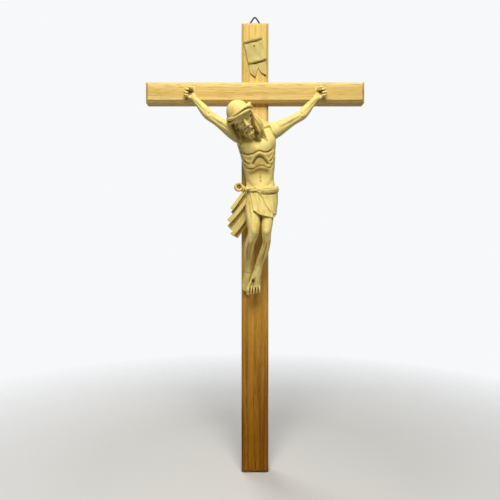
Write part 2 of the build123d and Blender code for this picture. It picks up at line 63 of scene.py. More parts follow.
HEAD_CENTRE = at(-15.0, 40.0, 36.6)
HEAD_SIDE = Vector((cos(HEAD_ROLL), 0, sin(HEAD_ROLL)))
HEAD_UP = Vector((-sin(HEAD_ROLL) * cos(HEAD_PITCH), -sin(HEAD_PITCH), cos(HEAD_ROLL) * cos(HEAD_PITCH)))
HEAD_FACE = HEAD_SIDE.cross(HEAD_UP)
HEAD_TURN = Matrix((HEAD_SIDE, HEAD_UP, HEAD_FACE)).transposed()


def on_head(side, up, face):
    """A point by its distance beside, above and before the middle of the head."""
    return HEAD_CENTRE + HEAD_TURN @ Vector((side, up, face)) * HEAD_SCALE


def flow(values, steps):
    """Smooth run through given points or sizes."""
    values = [Vector(v) if hasattr(v, "__len__") else Vector((v, 0, 0)) for v in values]
    if len(values) == 1 or steps == 1:
        return values
    run = []
    last = len(values) - 1
    for i in range(last):
        before, start, end, after = values[max(i - 1, 0)], values[i], values[i + 1], values[min(i + 2, last)]
        for k in range(steps):
            t = k / steps
            run.append(
                0.5
                * (
                    2 * start
                    + (end - before) * t
                    + (2 * before - 5 * start + 4 * end - after) * t * t
                    + (3 * start - before - 3 * end + after) * t**3
                )
            )
    return run + [values[-1]]


def add_tube(bm, points, widths, depths=None, sides=14, steps=5, square=False, facing=TO_BACK):
    """Closed limb through points, with its half width across the front and half depth."""
    line = flow(points, steps)
    wide = [v.x for v in flow(widths, steps)]
    deep = [v.x for v in flow(depths or widths, steps)]
    last = len(line) - 1
    rings = []
    for i, point in enumerate(line):
        along = (line[min(i + 1, last)] - line[max(i - 1, 0)]).normalized()
        across = facing.cross(along)
        # A run that points straight back takes its width from x
        if across.length < 0.2:
            across = Vector((1, 0, 0)) - along * along.x
        across.normalize()
        place = Matrix((across, along.cross(across), along)).transposed().to_4x4()
        place.translation = point
        size = Matrix.Diagonal((max(wide[i], THINNEST), max(deep[i], THINNEST), 1, 1))
        if square:
            size = size @ Matrix.Rotation(pi / 4, 4, "Z") @ Matrix.Scale(2**0.5, 4)
        ring = bmesh.ops.create_circle(
            bm, cap_ends=i in (0, last), segments=4 if square else sides, radius=1, matrix=place @ size
        )
        rings.append(ring["verts"])
    for low, high in zip(rings, rings[1:]):
        both = set(low) | set(high)
        edges = {e for v in both for e in v.link_edges if e.other_vert(v) in both}
        loops = [e for e in edges if (e.verts[0] in low) == (e.verts[1] in low)]
        bmesh.ops.bridge_loops(bm, edges=loops)


def add_ring(bm, spots):
    """A closed ring of edges through the given spots."""
    ring = [bm.verts.new(spot) for spot in spots]
    return [bm.edges.new((ring[i], ring[(i + 1) % len(ring)])) for i in range(len(ring))]


def bridge_rings(bm, rings):
    for low, high in zip(rings, rings[1:]):
        bmesh.ops.bridge_loops(bm, edges=low + high)


def add_ball(bm, centre, radii, turn=None):
    place = (turn or Matrix.Identity(3)).to_4x4()
    place.translation = centre
    size = Matrix.Diagonal((*radii, 1))
    bmesh.ops.create_icosphere(bm, subdivisions=4, radius=1, matrix=place @ size)


def head_ball(bm, side, up, face, radii):
    add_ball(bm, on_head(side, up, face), [r * HEAD_SCALE for r in radii], HEAD_TURN)


def head_tube(bm, points, radii, steps=5, sides=10):
    add_tube(bm, [on_head(*p) for p in points], [r * HEAD_SCALE for r in radii], steps=steps, sides=sides)


def with_modifiers(piece):
    """Apply a piece's modifiers to its mesh."""
    bpy.context.view_layer.update()
    done = piece.evaluated_get(bpy.context.evaluated_depsgraph_get())
    mesh = bpy.data.meshes.new_from_object(done)
    old = piece.data
    piece.modifiers.clear()
    piece.data = mesh
    bpy.data.meshes.remove(old)


def piece_from(bm, name, voxel=None, relax=0):
    """An object from a bmesh, merged into one carved skin if a voxel size is given."""
    bmesh.ops.recalc_face_normals(bm, faces=bm.faces)
    mesh = bpy.data.meshes.new(name)
    bm.to_mesh(mesh)
    bm.free()
    piece = bpy.data.objects.new(name, mesh)
    bpy.context.scene.collection.objects.link(piece)
    if voxel:
        merge = piece.modifiers.new("merge", "REMESH")
        merge.mode = "VOXEL"
        merge.voxel_size = voxel
        if relax:
            soften = piece.modifiers.new("soften", "SMOOTH")
            soften.factor = 0.5
            soften.iterations = relax
        with_modifiers(piece)
    piece.data.name = name
    return piece


# Rounds of averaging that tell fine and broad hollows from their surroundings
FINE_HOLLOW = 4
BROAD_HOLLOW = 24


class Carving:
    """Cuts and raises the skin of a piece along drawn lines, and keeps the stain that settles in hollows,
    with the stain and painted shade that the lines lay in.
    """

    def __init__(self, piece):
        self.mesh = piece.data
        count = len(self.mesh.vertices)
        self.points = np.empty(count * 3)
        self.mesh.vertices.foreach_get("co", self.points)
        self.points = self.points.reshape(-1, 3)
        pairs = np.empty(len(self.mesh.edges) * 2, dtype=np.int64)
        self.mesh.edges.foreach_get("vertices", pairs)
        self.pairs = pairs.reshape(-1, 2)
        self.share = np.bincount(self.pairs.ravel(), minlength=count).clip(1)
        self.stain_and_shade = np.zeros(count)
        self.read_normals()

    def read_normals(self):
        self.mesh.vertices.foreach_set("co", self.points.ravel())
        self.mesh.update()
        normals = np.empty(len(self.points) * 3)
        self.mesh.vertex_normals.foreach_get("vector", normals)
        self.normals = normals.reshape(-1, 3)

    def near(self, line, radius, flat, window, taper):
        """How much each point belongs to a line, from 0 to 1."""
        line = np.array([tuple(p) for p in line], dtype=float)
        axes = [0, 2] if flat else [0, 1, 2]
        places = self.points[:, axes]
        line = line[:, axes] if line.shape[1] == 3 else line
        best = np.full(len(places), np.inf)
        share = np.full(len(places), 0.5)
        steps = np.linalg.norm(np.diff(line, axis=0), axis=1)
        whole = max(steps.sum(), 1e-9)
        done = 0.0
        for start, end, length in zip(line, line[1:], steps):
            run = end - start
            along = ((places - start) @ run / max(run @ run, 1e-9)).clip(0, 1)
            gap = places - start - along[:, None] * run
            off = np.einsum("ij,ij->i", gap, gap)
            nearer = off < best
            best[nearer] = off[nearer]
            share[nearer] = ((done + along * length) / whole)[nearer]
            done += length
        if len(line) == 1:
            best = np.sum((places - line[0]) ** 2, axis=1)
        weight = (1 - best / radius**2).clip(0, 1) ** 2
        if taper:
            weight = weight * (np.minimum(share, 1 - share) / taper).clip(0, 1)
        # A line drawn on the front fades where the skin turns away, and a window holds it to some depths
        if flat:
            weight = weight * (-self.normals[:, 1] / 0.4).clip(0, 1)
        if window:
            depth = BOARD_FRONT - self.points[:, 1]
            weight = weight * (depth > window[0]) * (depth < window[1])
        return weight

    def stroke(self, line, radius, height, stain_and_shade=0.0, flat=True, window=None, taper=0.25):
        """Raise (or cut, with a negative height) along a line of (x, z) or (x, y, z) points, and darken it by
        the given amount, which is stain in some lines and painted shade in others.
        """
        weight = self.near(line, radius, flat, window, taper if len(line) > 1 else 0)
        self.points += self.normals * (weight * height)[:, None]
        self.stain_and_shade = np.maximum(self.stain_and_shade, weight * stain_and_shade)

    def average(self, values):
        total = np.bincount(self.pairs[:, 0], values[self.pairs[:, 1]], len(values))
        total += np.bincount(self.pairs[:, 1], values[self.pairs[:, 0]], len(values))
        return total / self.share

    def smooth(self, share):
        for axis in range(3):
            column = self.points[:, axis]
            self.points[:, axis] = column + share * (self.average(column) - column)

    def rest_on(self, front):
        """Lay the back flat where it meets the front of a board."""
        self.points[:, 1] = np.minimum(self.points[:, 1], front)

    def hollow(self, spread):
        """Depth of the hollows of one width, as each point's fall below its surroundings."""
        wide = self.points.copy()
        for _ in range(spread):
            for axis in range(3):
                wide[:, axis] = self.average(wide[:, axis])
        return np.einsum("ij,ij->i", wide - self.points, self.normals)

    def finish(self, fine, broad):
        """Store the carved shape and the darkening: the lines' stain and painted shade, and the stain by how
        much of it settles in fine and broad hollows.
        """
        self.read_normals()
        settled = fine * self.hollow(FINE_HOLLOW).clip(0) + broad * self.hollow(BROAD_HOLLOW).clip(0)
        stain_and_shade = np.maximum(self.stain_and_shade, settled.clip(0, 1))
        for _ in range(2):
            stain_and_shade = 0.5 * stain_and_shade + 0.5 * self.average(stain_and_shade)
        layer = self.mesh.attributes.new("stain_and_shade", "FLOAT", "POINT")
        layer.data.foreach_set("value", stain_and_shade.clip(0, 1))
        self.mesh.shade_smooth()


def give_finish(mesh, finish):
    mesh.materials.clear()
    mesh.materials.append(finish)


def settle(piece, node, finish):
    """Scale a finished piece to metres, and give it its place, finish and motion."""
    piece.data.transform(Matrix.Scale(MM, 4))
    give_finish(piece.data, finish)
    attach(piece, "cross")
    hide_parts(node)


class Nodes:
    """A node tree, built node by node."""

    def __init__(self, tree):
        self.tree = tree
        tree.nodes.clear()

    def put(self, made, key, value):
        """Link or set an input, given by its name, or by its number after an underscore."""
        key = int(key[1:]) if key[0] == "_" else key.replace("_", " ")
        socket = made.inputs[key]
        if isinstance(value, bpy.types.NodeSocket):
            self.tree.links.new(value, socket)
        else:
            socket.default_value = value

    def node(self, kind, settings=None, out=0, **inputs):
        made = self.tree.nodes.new("ShaderNode" + kind)
        for key, value in (settings or {}).items():
            setattr(made, key, value)
        for key, value in inputs.items():
            self.put(made, key, value)
        return made.outputs[out]

    def level(self, value, low, high, start=0.0, end=1.0):
        """A range of values brought to another range."""
        return self.node("MapRange", _0=value, _1=low, _2=high, _3=start, _4=end)

    def math(self, operation, a, b=0.5):
        return self.node("Math", {"operation": operation, "use_clamp": operation != "SUBTRACT"}, _0=a, _1=b)


class Finish(Nodes):
    """A material with its shader and the patterns that feed it."""

    def __init__(self, name):
        self.material = bpy.data.materials.new(name)
        self.material.use_nodes = True
        super().__init__(self.material.node_tree)
        self.shader = self.tree.nodes.new("ShaderNodeBsdfPrincipled")
        output = self.tree.nodes.new("ShaderNodeOutputMaterial")
        self.put(output, "Surface", self.shader.outputs["BSDF"])

    def set(self, **inputs):
        for key, value in inputs.items():
            self.put(self.shader, key, value)

    def coords(self, scale, shift=(0, 0, 0)):
        return self.node("Mapping", Vector=self.node("TexCoord", out=3), Scale=scale, Location=shift)

    def noise(self, scale, detail=3.0, rough=0.5, warp=0.0, shift=(0, 0, 0)):
        place = self.coords(scale, shift)
        return self.node("TexNoise", Vector=place, Scale=1.0, Detail=detail, Roughness=rough, Distortion=warp)

    def ramp(self, value, stops):
        made = self.tree.nodes.new("ShaderNodeValToRGB")
        self.put(made, "_0", value)
        line = made.color_ramp
        while len(line.elements) < len(stops):
            line.elements.new(0.5)
        for element, (place, colour) in zip(line.elements, stops):
            element.position = place
            element.color = (*colour, 1)
        return made.outputs[0]

    def mix(self, share, tone, colour, blend="MIX"):
        if not isinstance(colour, bpy.types.NodeSocket):
            colour = (*colour, 1)
        kind = {"data_type": "RGBA", "blend_type": blend}
        return self.node("Mix", kind, out=2, _0=share, _6=tone, _7=colour)

    def tint(self, tone, mask, share, colour, blend="MIX"):
        """A colour laid over the tone where the mask is, by a share at most."""
        return self.mix(self.math("MULTIPLY", mask, share), tone, colour, blend)

    def sum(self, first, first_share, second, second_share):
        """Two patterns added, each by its share."""
        return self.math(
            "ADD", self.math("MULTIPLY", first, first_share), self.math("MULTIPLY", second, second_share)
        )

    def bump(self, height, strength, distance, **inputs):
        return self.node("Bump", Strength=strength, Distance=distance, Height=height, **inputs)


def oak_finish(name, lengthwise, shift):
    """Oiled oak with streaked growth, open pores and rounded, worn edges."""
    oak = Finish(name)

    def stretch(across, along):
        return (across, across, along) if lengthwise == "Z" else (along, across, across)

    broad = oak.noise(stretch(38, 1.6), 2.0, 0.5, 0.3, shift)
    streaks = oak.noise(stretch(330, 5.0), 4.0, 0.62, 0.5, shift)
    fibres = oak.noise(stretch(2600, 26), 2.0, 0.6, 0.0, shift)
    pores = oak.noise(stretch(1900, 70), 2.0, 0.55, 0.0, shift)
    flames = oak.noise(stretch(230, 4.0), 3.0, 0.6, 0.9, shift)
    flame = oak.level(flames, 0.48, 0.58)
    open_pores = oak.math("MULTIPLY", oak.level(pores, 0.57, 0.64), oak.level(streaks, 0.36, 0.58, 0.15, 1.0))
    tone = oak.ramp(
        oak.sum(broad, 0.55, streaks, 0.45),
        [
            (0.34, (0.58, 0.370, 0.110)),
            (0.47, (0.77, 0.555, 0.180)),
            (0.56, (0.90, 0.700, 0.270)),
            (0.68, (0.96, 0.800, 0.360)),
        ],
    )
    tone = oak.tint(tone, oak.level(streaks, 0.42, 0.62), 0.35, (0.55, 0.34, 0.11))
    tone = oak.tint(tone, fibres, 0.3, (0.93, 0.75, 0.31))
    tone = oak.tint(tone, open_pores, 0.62, (0.20, 0.085, 0.018))
    tone = oak.tint(tone, flame, 0.4, (0.72, 0.55, 0.32), "MULTIPLY")
    if lengthwise == "Z":
        # Painted shade: the board is made warmer, then darker, towards the foot end, where less light falls,
        # with its dark streaks deepened there; it is also a little darker at the top, nearest the key lamp
        height_up = oak.node("SeparateXYZ", out=2, Vector=oak.node("TexCoord", out=3))
        tone = oak.mix(oak.level(height_up, 0.17, 0.36, 1.0, 0.0), tone, (0.90, 0.64, 0.32), "MULTIPLY")
        wavy_height = oak.math("ADD", height_up, oak.math("MULTIPLY", oak.level(broad, 0.3, 0.7), 0.04))
        foot_shade = oak.level(wavy_height, 0.06, 0.21, 1.0, 0.0)
        tone = oak.mix(foot_shade, tone, (0.46, 0.35, 0.11), "MULTIPLY")
        tone = oak.tint(tone, oak.math("MULTIPLY", flame, foot_shade), 0.85, (0.16, 0.062, 0.010))
        # Painted shade at the top of the board, where the key lamp is strongest
        tone = oak.mix(oak.level(height_up, 0.40, 0.46, 0.0, 0.7), tone, (0.84, 0.82, 0.66), "MULTIPLY")
    # Edges, rounded a little and worn in places
    round_normal = oak.node("Bevel", {"samples": 6}, Radius=0.0006)
    flat_normal = oak.node("NewGeometry", out=1)
    edge = oak.node("VectorMath", {"operation": "DOT_PRODUCT"}, out=1, _0=round_normal, _1=flat_normal)
    worn = oak.math("MULTIPLY", oak.level(edge, 0.995, 0.93), oak.level(broad, 0.4, 0.62, 0.2, 0.8))
    tone = oak.tint(tone, worn, 0.4, (0.40, 0.20, 0.05))
    # End grain: growth rings round a pith that lies outside the board
    ring_width = 0.0011
    facing = oak.node("SeparateXYZ", out=2 if lengthwise == "Z" else 0, Vector=flat_normal)
    end = oak.level(oak.math("ABSOLUTE", facing), 0.85, 0.97)
    pith = oak.coords(stretch(1, 0), stretch(0.035, 0))
    wander = oak.math("MULTIPLY", oak.noise((160, 160, 160), 2.0, 0.5), 0.004)
    ring_place = oak.math("ADD", oak.node("VectorMath", {"operation": "LENGTH"}, out=1, _0=pith), wander)
    ring_tone = oak.ramp(
        oak.level(oak.math("PINGPONG", ring_place, ring_width), 0.0, ring_width),
        [(0.1, (0.20, 0.095, 0.024)), (0.5, (0.36, 0.19, 0.05)), (0.9, (0.46, 0.26, 0.075))],
    )
    tone = oak.tint(tone, end, 0.85, ring_tone)
    height = oak.math("SUBTRACT", oak.math("MULTIPLY", fibres, 0.35), open_pores)
    oak.set(
        Base_Color=tone,
        Roughness=oak.level(open_pores, 0.0, 1.0, 0.42, 0.7),
        Specular_IOR_Level=0.04,
        Normal=oak.bump(height, 0.35, 0.0004, Normal=round_normal),
    )
    return oak.material


def carved_finish(name, shade_toning=(1, 1, 1)):
    """Pale limewood, cut with a knife, with brown stain settled in the hollows, and painted shade laid in
    along some carved lines.
    """
    wood = Finish(name)
    stain_and_shade = wood.node("Attribute", {"attribute_name": "stain_and_shade"}, out=2)
    grain = wood.noise((900, 900, 45), 3.0, 0.6, 0.4)
    cloud = wood.noise((70, 70, 70), 3.0, 0.55)
    speck = wood.noise((1400, 1400, 1400), 2.0, 0.6)
    tone = wood.ramp(
        wood.sum(cloud, 0.6, grain, 0.4),
        [(0.36, (0.77, 0.585, 0.185)), (0.5, (0.88, 0.72, 0.25)), (0.64, (0.94, 0.79, 0.31))],
    )
    # Painted shade: the whole tone darkened by a given colour, for a copy that stands nearer the key lamp
    tone = wood.mix(1.0, tone, shade_toning, "MULTIPLY")
    # The darkening mask holds brown stain from the hollows and painted shade laid in along carved lines
    uneven = wood.math("MULTIPLY", stain_and_shade, wood.level(cloud, 0.3, 0.7, 0.75, 1.25))
    tone = wood.tint(tone, wood.level(uneven, 0.10, 0.55), 0.82, (0.41, 0.255, 0.055))
    tone = wood.tint(tone, wood.level(uneven, 0.5, 1.0), 0.85, (0.12, 0.062, 0.012))
    tone = wood.tint(tone, wood.level(speck, 0.62, 0.74), 0.22, (0.52, 0.34, 0.11))
    wood.set(
        Base_Color=tone,
        Roughness=wood.level(uneven, 0.0, 1.0, 0.46, 0.66),
        Specular_IOR_Level=0.12,
        Normal=wood.bump(wood.sum(grain, 0.6, speck, 0.4), 0.18, 0.0003),
    )
    return wood.material


def plain_finish(name, pattern, tones, rough, relief, scratches=None, scuffs=None, **shine):
    """A finish toned by one pattern, which also gives its sheen and relief if no scratches do."""
    made = Finish(name)
    mottle = made.noise(*pattern)
    marks = made.noise(*scratches) if scratches else mottle
    tone = made.ramp(mottle, tones)
    if scuffs:
        tone = made.tint(tone, made.level(made.noise(*scuffs), 0.6, 0.75), 0.4, (0.16, 0.14, 0.12))
    made.set(
        Base_Color=tone,
        Roughness=made.level(marks, 0.3, 0.7, *rough),
        Normal=made.bump(marks, *relief),
        **shine,
    )
    return made.material


UPRIGHT_OAK = oak_finish("oak_upright", "Z", (0.31, 0.12, 0.0))
CROSSBAR_OAK = oak_finish("oak_crossbar", "X", (0.0, 0.57, 0.23))
FLESH_WOOD = carved_finish("carved_wood")
# The scroll's copy is painted darker, as painted shade, so that it renders no brighter than the figure though
# it stands nearest the key lamp
SHADED_SCROLL_WOOD = carved_finish("scroll_wood_shaded", (0.60, 0.60, 0.57))
BLACK_STEEL = plain_finish(
    "blackened_steel",
    ((900, 900, 900), 4.0, 0.6),
    [(0.35, (0.012, 0.011, 0.010)), (0.6, (0.035, 0.031, 0.027)), (0.75, (0.07, 0.055, 0.042))],
    rough=(0.36, 0.6),
    relief=(0.25, 0.0002),
    scuffs=((2600, 2600, 500), 3.0, 0.6),
    Metallic=0.75,
)
# Nail iron is browned with age
FORGED_IRON = plain_finish(
    "forged_iron",
    ((1100, 1100, 1100), 4.0, 0.6),
    [(0.35, (0.030, 0.018, 0.010)), (0.55, (0.065, 0.040, 0.022)), (0.72, (0.13, 0.075, 0.038))],
    rough=(0.55, 0.8),
    relief=(0.35, 0.0003),
    Metallic=0.1,
    Specular_IOR_Level=0.25,
)
ZINC = plain_finish(
    "zinc_plate",
    ((500, 500, 500), 4.0, 0.6),
    [(0.35, (0.40, 0.38, 0.33)), (0.65, (0.62, 0.60, 0.54))],
    rough=(0.28, 0.46),
    relief=(0.15, 0.0001),
    scratches=((300, 4000, 4000), 2.0, 0.6),
    Metallic=1.0,
)
BEECH = plain_finish(
    "beech_dowel",
    ((1200, 1200, 80), 3.0, 0.6),
    [(0.35, (0.50, 0.32, 0.15)), (0.65, (0.66, 0.46, 0.25))],
    rough=(0.5, 0.65),
    relief=(0.2, 0.0003),
)

for finish, nodes in (
    (UPRIGHT_OAK, ("upright",)),
    (CROSSBAR_OAK, ("crossbar",)),
    (ZINC, ("lap_screw_left", "lap_screw_right", "corpus_screw", "hanger_screw")),
    (BLACK_STEEL, ("hanger_strap", "hanger_ring")),
    (BEECH, ("right_shoulder_dowel", "left_shoulder_dowel", "drape_dowel")),
):
    for node in nodes:
        give_finish(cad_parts[node].data, finish)


def limb(bm, stations, sides=24, steps=5):
    """Flesh through sections (x, depth, drop, half width, half depth)."""
    points = [at(x, depth, drop) for x, depth, drop, _, _ in stations]
    add_tube(bm, points, [s[3] for s in stations], [s[4] for s in stations], sides, steps)


def lifted(line, by):
    """A line of (x, z) points, moved up."""
    return [(x, z + by) for x, z in line]


MIDDLE_X = 4.0  # middle line of the trunk

# Sections of the flesh, as (x, depth, drop, half width, half depth); right and left are the figure's own
TORSO = [
    (6.8, 15.5, 131.0, 12.6, 13.0),
    (6.0, 15.2, 119.0, 15.6, 15.2),
    (6.0, 15.0, 107.0, 15.8, 14.0),
    (5.2, 15.0, 96.0, 15.0, 12.0),
    (4.4, 16.2, 84.0, 16.9, 13.0),
    (3.2, 17.4, 72.0, 18.6, 14.2),
    (1.8, 18.0, 61.0, 20.4, 14.6),
    (0.4, 17.6, 50.0, 21.4, 13.2),
    (-0.4, 16.6, 40.0, 17.0, 10.4),
    (-1.0, 16.6, 33.0, 9.0, 7.4),
]
RIGHT_LEG = [
    (2.0, 15.0, 104.0, 7.6, 8.0),
    (0.0, 18.0, 117.0, 9.2, 10.2),
    (-1.4, 22.5, 130.0, 9.2, 10.6),
    (-1.8, 29.0, 143.0, 7.4, 8.8),
    (-2.1, 33.0, 155.0, 5.7, 6.8),
    (-5.2, 28.5, 165.0, 5.0, 6.2),
    (-7.0, 21.5, 175.0, 4.8, 5.7),
    (-7.3, 13.6, 186.0, 3.8, 4.3),
    (-7.2, 7.6, 196.0, 3.6, 4.0),
]
LEFT_LEG = [
    (12.0, 15.0, 104.0, 7.6, 8.0),
    (12.4, 18.0, 117.0, 8.4, 10.2),
    (12.8, 22.5, 130.0, 7.8, 10.4),
    (12.5, 29.0, 143.0, 6.3, 8.6),
    (11.6, 33.0, 155.0, 5.1, 6.6),
    (11.8, 29.5, 165.0, 4.3, 5.8),
    (9.3, 25.5, 175.0, 4.5, 5.5),
    (5.4, 20.5, 185.0, 4.2, 4.6),
    (3.0, 16.5, 195.0, 4.0, 4.2),
]
RIGHT_FOOT = [
    (-7.3, 12.6, 187.0, 3.5, 4.0),
    (-7.3, 8.4, 194.5, 3.9, 4.6),
    (-8.0, 5.8, 202.0, 4.6, 5.4),
    (-8.8, 4.8, 209.0, 4.9, 4.6),
    (-9.4, 4.4, 214.0, 4.7, 3.2),
]
LEFT_FOOT = [
    (4.9, 19.8, 186.5, 3.9, 4.2),
    (3.2, 17.0, 194.0, 4.3, 4.7),
    (1.4, 15.6, 201.0, 5.2, 5.2),
    (0.1, 15.2, 207.5, 6.0, 4.2),
    (-0.6, 15.0, 213.0, 6.5, 2.9),
]
NECK = [
    (0.5, 13.0, 46.0, 9.0, 7.4),
    (-3.5, 19.0, 41.0, 8.0, 7.0),
    (-8.0, 25.0, 38.0, 7.2, 6.8),
    (-12.0, 31.0, 36.8, 6.8, 6.6),
    (-15.0, 37.0, 36.4, 6.4, 6.2),
]
RIGHT_SHOULDER = [
    (0.0, 15.6, 44.0, 8.0, 7.2),
    (-8.0, 16.4, 45.4, 8.2, 7.4),
    (-16.0, 17.0, 46.0, 8.0, 7.6),
    (-24.5, 17.0, 45.2, 8.0, 7.8),
]
LEFT_SHOULDER = [
    (1.0, 15.6, 43.0, 8.4, 7.2),
    (8.5, 16.4, 43.4, 8.6, 7.4),
    (16.5, 17.0, 44.0, 8.2, 7.6),
    (24.5, 17.0, 43.0, 8.0, 7.8),
]
KNEECAPS = ((-1.4, 36.8, 154.6), (11.4, 36.8, 154.6))
ARM_SAGS = {-1: 2.5, 1: 0.0}  # how much lower each shoulder is, by side
PALM_STAIN_AND_SHADE = {-1: (1.9, 1.3), 1: (0.85, 0.9)}  # brown stain and painted shade in the hollow, and painted shade under the fingers, by side
HAND_X = 70.0  # middle of the palm
HAND_DROP = 1.5  # below the crossbar's middle


def arm_stations(side, sag):
    """Sections of an arm from inside the shoulder to the wrist. side is +1 to the viewer's right."""
    shoulder = Vector((25.0, 17.0, 42.5 + sag))
    wrist = Vector((65.6, CROSSBAR_PROUD + 5.4, 9.1))
    elbow_x = shoulder.x + 0.62 * (wrist.x - shoulder.x)
    elbow_drop = shoulder.z + 0.44 * (wrist.z - shoulder.z) - 0.6 * sag
    elbow = Vector((elbow_x, 17.0, elbow_drop))
    sections = [
        (shoulder.lerp(elbow, -0.33), 8.4, 8.2),
        (shoulder, 8.0, 7.8),
        (shoulder.lerp(elbow, 0.33), 6.4, 6.6),
        (shoulder.lerp(elbow, 0.67), 5.3, 5.7),
        (elbow, 5.4, 5.3),
        (elbow.lerp(wrist, 0.36), 5.1, 5.0),
        (elbow.lerp(wrist, 0.7), 3.9, 3.9),
        (wrist, 3.2, 2.9),
    ]
    return [(side * c.x, c.y, c.z, wide, deep) for c, wide, deep in sections]


def carve_trunk(cut):
    # Breast muscles, breastbone and collar bones
    cut.stroke([(-12.0, 359.0), (-8.0, 356.0), (-3.0, 353.0)], 10.0, 1.7, taper=0)
    cut.stroke([(16.0, 361.0), (12.0, 357.5), (6.0, 353.5)], 10.0, 1.7, taper=0)
    cut.stroke([(-0.8, 372.0), (1.4, 360.0), (2.8, 350.5)], 4.2, -0.6)
    left_collar = [(0.5, 373.5), (8.0, 377.5), (17.0, 381.5)]
    right_collar = [(-2.5, 372.8), (-10.0, 374.5), (-19.0, 374.5)]
    for collar in (left_collar, right_collar):
        cut.stroke(collar, 2.4, 0.7)
        cut.stroke(lifted(collar, -3.2), 2.4, -0.4)
    cut.read_normals()
    breast_line = [
        (-16.0, 353.6), (-14.0, 349.8), (-8.7, 347.0), (-2.7, 347.4), (0.8, 349.2),
        (3.9, 350.4), (9.2, 349.2), (14.0, 349.9), (17.6, 353.0), (20.0, 356.5),
    ]
    cut.stroke(breast_line, 1.25, -0.62, 0.2, taper=0.12)
    cut.stroke(lifted(breast_line, -2.4), 2.4, 0.5, taper=0.12)
    # Rib arch over the hollow of the belly
    arch = [
        (-5.2, 335.6), (-3.6, 339.6), (-0.9, 343.6), (2.0, 346.2), (5.0, 347.2),
        (8.4, 345.8), (11.4, 343.0), (14.4, 339.4), (16.4, 336.2),
    ]
    hollow = [
        (-3.9, 336.9), (-0.9, 341.6), (2.2, 344.4), (5.0, 345.2), (8.0, 344.0), (11.2, 341.2), (15.0, 337.2),
    ]
    cut.stroke(lifted(arch, 1.0), 2.2, 0.8, taper=0.1)
    cut.stroke(lifted(hollow, -0.8), 2.0, -0.7, 0.26, taper=0.1)
    cut.stroke([(-0.5, 338.0), (4.6, 340.0), (10.6, 338.2)], 5.4, -1.0, 0.24, taper=0)
    # Upper edge of the belly, in two shallow bows
    bows = [
        (-12.4, 337.6), (-10.4, 334.6), (-8.1, 333.2), (-4.6, 332.2), (-1.2, 332.8), (1.6, 334.6),
        (4.2, 335.6), (8.4, 335.8), (11.4, 334.8), (14.2, 333.6), (17.0, 334.8), (19.4, 338.2),
    ]
    cut.stroke(bows, 1.25, -0.62, 0.3, taper=0.12)
    cut.stroke(lifted(bows[2:-2], -2.5), 2.4, 0.6, taper=0.12)
    cut.stroke([(-9.0, 330.0), (4.5, 331.6), (18.0, 330.4)], 7.0, 0.0, 0.6, taper=0.2)
    cut.stroke([(-4.0, 335.4), (4.5, 337.4), (13.0, 335.6)], 5.0, 0.0, 0.5, taper=0.2)
    cut.read_normals()
    for rib in (
        [(-15.4, 348.4), (-13.5, 344.0), (-11.4, 341.0), (-8.7, 338.6), (-5.2, 337.0)],
        [(21.0, 352.0), (20.0, 348.1), (18.8, 345.0), (17.0, 342.2), (14.4, 339.9)],
        [(21.0, 346.0), (20.0, 342.2), (18.8, 339.4), (16.6, 336.2)],
        [(-14.6, 342.4), (-13.4, 338.9), (-11.0, 335.6)],
        [(-16.8, 353.4), (-14.8, 349.0), (-12.4, 346.2)],
    ):
        cut.stroke(lifted(rib, 1.8), 2.0, 0.7, taper=0.2)
        cut.stroke(rib, 1.2, -0.65, 0.26, taper=0.2)
    # Teeth of muscle at the flanks, under the arms
    for x, z in ((-19.6, 360.0), (-18.6, 354.6), (-17.4, 349.0)):
        twin = 2 * MIDDLE_X - x
        cut.stroke([(x, z), (x + 3.6, z - 2.6)], 1.8, 0.5, taper=0.3)
        cut.stroke([(twin - 1.0, z), (twin - 4.6, z - 2.6)], 1.8, 0.5, taper=0.3)
    # Belly line, navel and groin
    navel = [(5.5, 320.3)]
    cut.stroke([(4.4, 333.0), (5.4, 322.0), (5.6, 313.0)], 2.6, -0.35)
    cut.stroke(navel, 2.6, 0.5)
    cut.stroke(navel, 1.3, -1.3, 0.8)
    for groin in (
        [(20.0, 326.0), (17.0, 319.0), (10.0, 313.0)],
        [(-9.6, 324.0), (-7.0, 318.0), (0.0, 312.5)],
    ):
        cut.stroke(groin, 3.2, -0.6, 0.08)
    cut.read_normals()


